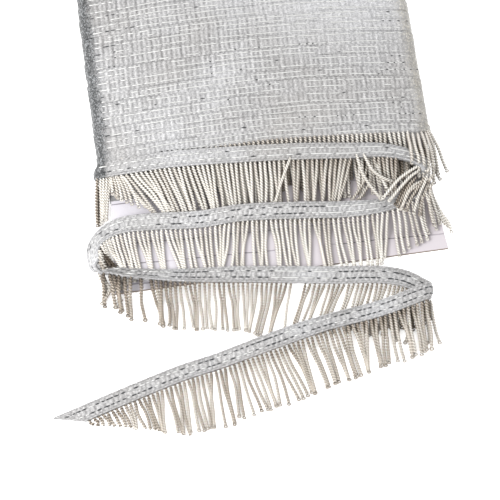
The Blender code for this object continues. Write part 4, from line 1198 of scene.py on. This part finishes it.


# each strand's painted shade, then its places: x, y and height
strayPaths = (
    # left edge, hanging straight down over the corner of the card; behind the first, a strand painted dark
    # as the shade in the gap
    (0.75, (-70, -86, 8), (-70.8, -91.1, 7), (-71.4, -95.5, 5), (-71.9, -100, 3), (-72.1, -104.8, 1.4)),
    (1.9, (-69.8, -88.7, 6), (-70.3, -93.3, 4.2), (-70.8, -97.9, 2.4), (-71.3, -104.1, 0.9)),
    (0.1, (-68.6, -86.3, 9), (-69.2, -91.8, 8), (-69.6, -96.5, 5.4), (-70, -99.9, 3.2),
     (-70.6, -104.1, 1.6)),
    (0, (-67.4, -86.2, 9.4), (-68, -91.3, 8.4), (-68.6, -95.5, 6), (-69.3, -99.8, 3.6),
     (-69.9, -103.6, 2.2)),
    (0, (-66.1, -86.5, 9.6), (-66.7, -91.1, 8.6), (-67.5, -94.8, 6.2), (-68.4, -98.3, 4.2),
     (-69, -101.8, 3)),
    (0.1, (-65, -86.8, 9.8), (-65.3, -90.1, 9), (-65.9, -92.9, 7.4), (-66.8, -95.6, 5.8),
     (-68.3, -103.3, 3)),
    (0.1, (-64.4, -87.8, 9.8), (-64.4, -91.1, 9), (-63.8, -93.4, 7.8), (-62.9, -95.2, 6.6)),
    # tangled short ones at the left end of the first run
    (0.1, (-64.4, -88.3, 11.5), (-64.4, -92.5, 11.5), (-64.4, -95.8, 10.5)),
    (0.3, (-63.6, -88.6, 11.9), (-62.9, -93.4, 11.8), (-62.6, -97.8, 10.3)),
    (0, (-62.7, -88.6, 11.7), (-61.6, -93.4, 11.5), (-61.1, -98.7, 9.9)),
    (0.2, (-61.9, -88.5, 12.1), (-60.1, -94.3, 11.9), (-59.1, -99.7, 9.6)),
    (0.1, (-60.7, -88.6, 12), (-58.5, -94.8, 11.6), (-57.2, -100.7, 9.2)),
    (0, (-59.5, -89, 12.4), (-56.5, -95.6, 11.8), (-54.5, -102.2, 8.7)),
    # inside the third fold: strands painted dark as the shade in its slits
    (1.9, (-73.6, -119.6, 5.8), (-72.2, -122.6, 5.2), (-70.2, -126.4, 3.8)),
    (1.6, (-73, -118, 5.6), (-71.2, -121.4, 5), (-68.6, -125.6, 3.8)),
    (1.9, (-72.6, -116.6, 5.2), (-70.4, -120.6, 4.6), (-67.2, -125.4, 3.6)),
    (0.5, (-73.8, -121.2, 6.2), (-73, -124.2, 5.6), (-71.6, -127.4, 4.4)),
    # ends of the third run's strands below the fourth, painted brown as shade
    *sameHeights((2.4, 1.8, 1.2),
        (1.2, (27.2, -158.6), (26.5, -162.3), (25.7, -165.9)),
        (1.4, (29.3, -158.4), (29.1, -162.6), (28.9, -166.8)),
        (1, (30.9, -158.2), (29.9, -162.5), (28.9, -166.8)),
        (1.5, (33, -158), (32.9, -162.7), (32.8, -167.3)),
        (1.1, (34.7, -157.7), (34, -162.1), (33.4, -166.5)),
        (1.6, (36.7, -157.6), (36.9, -161.8), (37.1, -166.1)),
        (1.2, (38.4, -157.3), (37.3, -161.9), (36.2, -166.4)),
        (1.4, (40.5, -157.1), (40.2, -161.8), (39.9, -166.4)),
        (1, (42.5, -156.9), (41.6, -162), (40.6, -167)),
        (1.4, (44.6, -156.8), (44.4, -161.9), (44.3, -167)),
        (1.3, (47.1, -156.6), (46.2, -162.1), (45.4, -167.6)),
        (1.5, (49.5, -156.5), (49, -162.5), (48.5, -168.5)),
        (1.2, (52, -156.4), (51, -161.9), (49.9, -167.3)),
        (1.4, (54.5, -156.2), (53.9, -161.3), (53.3, -166.4)),
        (1, (56.5, -156.1), (56.3, -160.3), (56.1, -164.5))),
    # right end of the last turn, draped over the second fold
    (0.15, (59.1, -83.1, 10.8), (58.8, -91.6, 14.6), (58.5, -95.3, 16.2), (58.6, -97.6, 16),
     (58.3, -99.6, 14.6)),
    (0.15, (61.2, -83.2, 10.6), (60.8, -91.7, 14.4), (60.9, -96, 16), (61.2, -99.2, 15.8),
     (60.6, -104.6, 12)),
    (0.15, (63.3, -83.4, 10.4), (62.9, -91.9, 14.2), (63, -96.1, 15.8), (63.1, -100.7, 15.4),
     (62.4, -106.1, 11)),
    (0.15, (65, -83, 10.2), (65.4, -92.2, 13.4), (65.3, -97.2, 14.6), (65.1, -101.3, 13.6),
     (64.4, -107.3, 9.2)),
    (0.15, (66.7, -83.1, 10), (67.1, -92, 12.6), (67.1, -96.7, 13.4), (67, -100.8, 12.2),
     (66.8, -106.2, 7.6)),
    (0.15, (67.6, -82.7, 9.8), (68.6, -90.9, 11.2), (68.8, -95.1, 11), (69.1, -98.7, 9),
     (69.2, -101.9, 7)),
    (0.15, (68.2, -82.1, 9.4), (70.5, -90.1, 9.4), (71.6, -94.2, 8), (72.5, -97, 6), (73.5, -99.4, 4.2)),
    (0.15, (66.3, -88.6, 8), (67.7, -95.7, 6.6), (68.8, -99.8, 5), (70.1, -102.4, 3.4)),
    # from the second fold, over it and back towards the middle
    (0, (62.3, -100.5, 14.4), (57.9, -102.6, 14.6), (52.4, -105.8, 14.4), (48.2, -109.4, 13.4),
     (44.4, -112.8, 12)),
    (0, (61.1, -102.9, 14), (57.1, -105.2, 14), (52.8, -108.8, 13.4), (49.5, -111.8, 12.4),
     (46.9, -114, 11.4)),
    (1.3, (57.7, -104.1, 12.6), (54.2, -108.4, 12), (51.4, -112.2, 11), (49.3, -115.3, 10.2)),
    (0.8, (59.2, -105.3, 12.8), (55.3, -109.2, 12.2), (52.2, -113.3, 11), (50, -116.2, 10)),
    (0.3, (60.9, -107.4, 12.8), (57.3, -109.2, 12.6), (54.2, -112.1, 11.8), (51.6, -117.3, 10)),
    (0.2, (59.9, -108.8, 12.2), (55.8, -111, 12), (53.3, -114.4, 11), (51.2, -117.5, 9.6)),
    (0.6, (62.8, -105.7, 12.6), (58.8, -110.5, 12), (55.6, -114.2, 11), (53.2, -118.2, 9.4)),
    (0.1, (64.2, -104.4, 13.4), (62.1, -108.6, 13), (59.5, -112.6, 12.2), (57.5, -116.6, 10.6),
     (56.2, -119.8, 9.2)),
    (0.5, (64.8, -106.4, 11.8), (62.3, -110.9, 11.2), (60, -115.1, 9.8), (58.7, -120.2, 7.6)),
    (0.2, (65.1, -107.7, 10.6), (63.5, -112.9, 9.4), (63.2, -118.4, 7.4), (64, -124.2, 5)),
    (0.2, (65.8, -102, 14.6), (64.3, -103.8, 14.8), (62.5, -104.8, 14.4)),
    (0.3, (66.2, -105.2, 13.4), (64.4, -107.4, 13.6), (62.7, -107.9, 13.2)),
    (0.4, (65.8, -108.1, 12), (64.5, -109.8, 12), (62.8, -110.3, 11.6)),
    # shaded ones inside the second fold, painted in shade
    *sameHeights((11.5, 10.2, 8.2),
        (0.9, (47.4, -90.9), (46.9, -96), (46.3, -101.5)),
        (0.7, (49.2, -91.1), (49.1, -96.3), (49, -101.8)),
        (1, (51.1, -91.4), (50.7, -96.5), (50.4, -102)),
        (0.6, (52.9, -91.6), (53, -96.8), (53, -102.4)),
        (0.9, (54.7, -91.8), (54.6, -97), (54.4, -102.5)),
        (0.7, (56.3, -92.1), (56.6, -97.3), (56.9, -102.9))),
    # right edge, splayed out past the card
    (0.1, (64.6, -107.8, 7), (66.4, -114.3, 5.2), (68.3, -118.7, 3.4), (70.3, -122.1, 2.2),
     (71, -126.5, 1.4)),
    (0.1, (64.1, -108.5, 6.6), (65.1, -114.9, 5), (66.6, -118.6, 3.6), (68.7, -121.9, 2.2),
     (70.1, -123.5, 1.4)),
    # crossing the first row
    (0, (36.3, -92.6, 15), (37.3, -99.5, 13.4), (39.9, -105.1, 11), (43.9, -111.8, 9.4)),
    (0, (39.2, -92.9, 15), (41.4, -99.4, 14), (44.7, -102.7, 12.4), (49, -104.8, 11)),
    (0, (43.7, -95.3, 12.5), (45.8, -104.3, 10.8), (47.3, -108.2, 9.8)),
    (0.3, (43.4, -92.8, 9.8), (40.9, -101.7, 8.2), (37.7, -106.4, 7.2), (34.8, -109.5, 6.6)),
    (0.3, (41.4, -92.5, 9.8), (38.4, -101.4, 8.2), (35.3, -105.6, 7.2), (32.4, -109.1, 6.6)),
    (0, (9.3, -91, 15.8), (6.4, -96.3, 13.8), (3.7, -101.1, 11.2), (0.7, -107.7, 9.2)),
    # third fold
    (0.45, (-74.5, -123.5, 1.6), (-73.4, -129.7, 1.4), (-71.8, -133.6, 1.3), (-73.1, -137.9, 1.2),
     (-74.2, -140.5, 1.1)),
    (0.45, (-73.1, -125.6, 2.6), (-71.5, -131.4, 2.4), (-70.3, -135.1, 2.2), (-71.8, -137.6, 2),
     (-73.2, -139.6, 1.8)),
    (0.45, (-69, -129, 1.6), (-68.1, -133.6, 1.4), (-67.3, -136.9, 1.3), (-66.3, -140, 1.2)),
    (0.45, (-66.9, -129, 1.4), (-68.9, -133.1, 1.5), (-70.8, -136.2, 2.6), (-72.2, -138.3, 2.6)),
    # fourth fold, one tip hooked back
    (0.2, (54.4, -157.5, 1.6), (54.6, -165.7, 1.3), (54.5, -172, 1.2), (53.6, -175, 1.2),
     (50.6, -176, 1.2)),
    (0.2, (57.5, -156, 1.4), (57.3, -164.2, 1.2), (57.5, -170.5, 1.1), (58.3, -175.6, 1.1)),
)


def smoothLine(corners, steps):
    # a curve through the corners, bent evenly at each one
    points = [Vector(corner) for corner in corners]
    line = []
    for i in range(len(points) - 1):
        before, after = points[max(0, i - 1)], points[min(len(points) - 1, i + 2)]
        first, second = (points[i + 1] - before) / 2, (after - points[i]) / 2
        line += [curvePoint(points[i], points[i + 1], first, second, step / steps) for step in range(steps)]
    return line + points[-1:]


mesh = bmesh.new()
layers = newLayers(mesh, "relief", "tone")
strayRng = random.Random(stray["seed"])
for tone, *path in strayPaths:
    bendRope(mesh, layers, smoothLine(path, stray["steps"]), strayRng.uniform(0.0, 180.0),
             tone + strayRng.uniform(0.0, stray["toneSpread"]))
finishPiece("strayStrands", mesh, [strandMetal], "bullion_strand")
print("stray strands made")

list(fringePieces[1:])

cardMaterials = nodes["winding_card"].data.materials
cardMaterials.clear()
cardMaterials.append(cardPaper)


# Stage: floor, light and camera

studio = {
    "floorHex": "#ffffff", "floorSize": 3.0, "floorGlow": 0.45, "skyStrength": 1.15,
    # lamps: place, what they aim at, size and watts
    "keyLamp": ((-0.36, -0.3, 0.4), (-0.03, -0.11, 0.0), 0.3, 4.2),
    "fillLamp": ((0.6, 0.5, 0.9), (0.0, -0.02, 0.0), 0.8, 1.5),
}
view = {"aroundDeg": 7.5, "downDeg": 62.0, "distance": 1.2, "focalPixels": 2940.0, "imagePixels": 500.0,
        "target": (-0.0116, -0.1232, 0.0), "sensorMm": 36.0}

mesh = bmesh.new()
bmesh.ops.create_grid(mesh, x_segments=1, y_segments=1, size=studio["floorSize"] / 2)
floor = addObject("floor", keepMesh(mesh, "floor"))
# the floor glows a little: painted light that washes out the shadows cast on it
floorMaterial, floorTree, floorShader = newMaterial("glowingWhiteFloor", roughness=0.9, metallic=0.0)
white = srgb(studio["floorHex"])
feed(floorTree, floorShader, {"Base Color": white, "Emission Color": white,
                              "Emission Strength": studio["floorGlow"]})
floor.data.materials.append(floorMaterial)

world = bpy.data.worlds.new("softRoom")
bpy.context.scene.world = world
world.use_nodes = True
sky = {"Color": white, "Strength": studio["skyStrength"]}
feed(world.node_tree, world.node_tree.nodes["Background"], sky)

for name in ("keyLamp", "fillLamp"):
    place, aim, size, watts = studio[name]
    lamp = bpy.data.lights.new(name, "AREA")
    lamp.size = size
    lamp.energy = watts
    lampObject = addObject(name, lamp)
    lampObject.location = place
    lampObject.rotation_euler = (Vector(aim) - Vector(place)).to_track_quat("-Z", "Y").to_euler()

around, down = math.radians(view["aroundDeg"]), math.radians(view["downDeg"])
right = Vector((math.cos(around), -math.sin(around), 0.0))
level = Vector((math.sin(around), math.cos(around), 0.0))
looking = level * math.cos(down) - up * math.sin(down)
cameraData = bpy.data.cameras.new("camera")
cameraData.sensor_width = view["sensorMm"]
cameraData.lens = view["sensorMm"] * view["focalPixels"] / view["imagePixels"]
camera = addObject("camera", cameraData)
turned = Matrix((right, right.cross(looking), -looking)).transposed().to_4x4()
camera.matrix_world = Matrix.Translation(Vector(view["target"]) - looking * view["distance"]) @ turned
bpy.context.scene.camera = camera
bpy.context.scene.view_settings.view_transform = "Standard"
print("stage made")
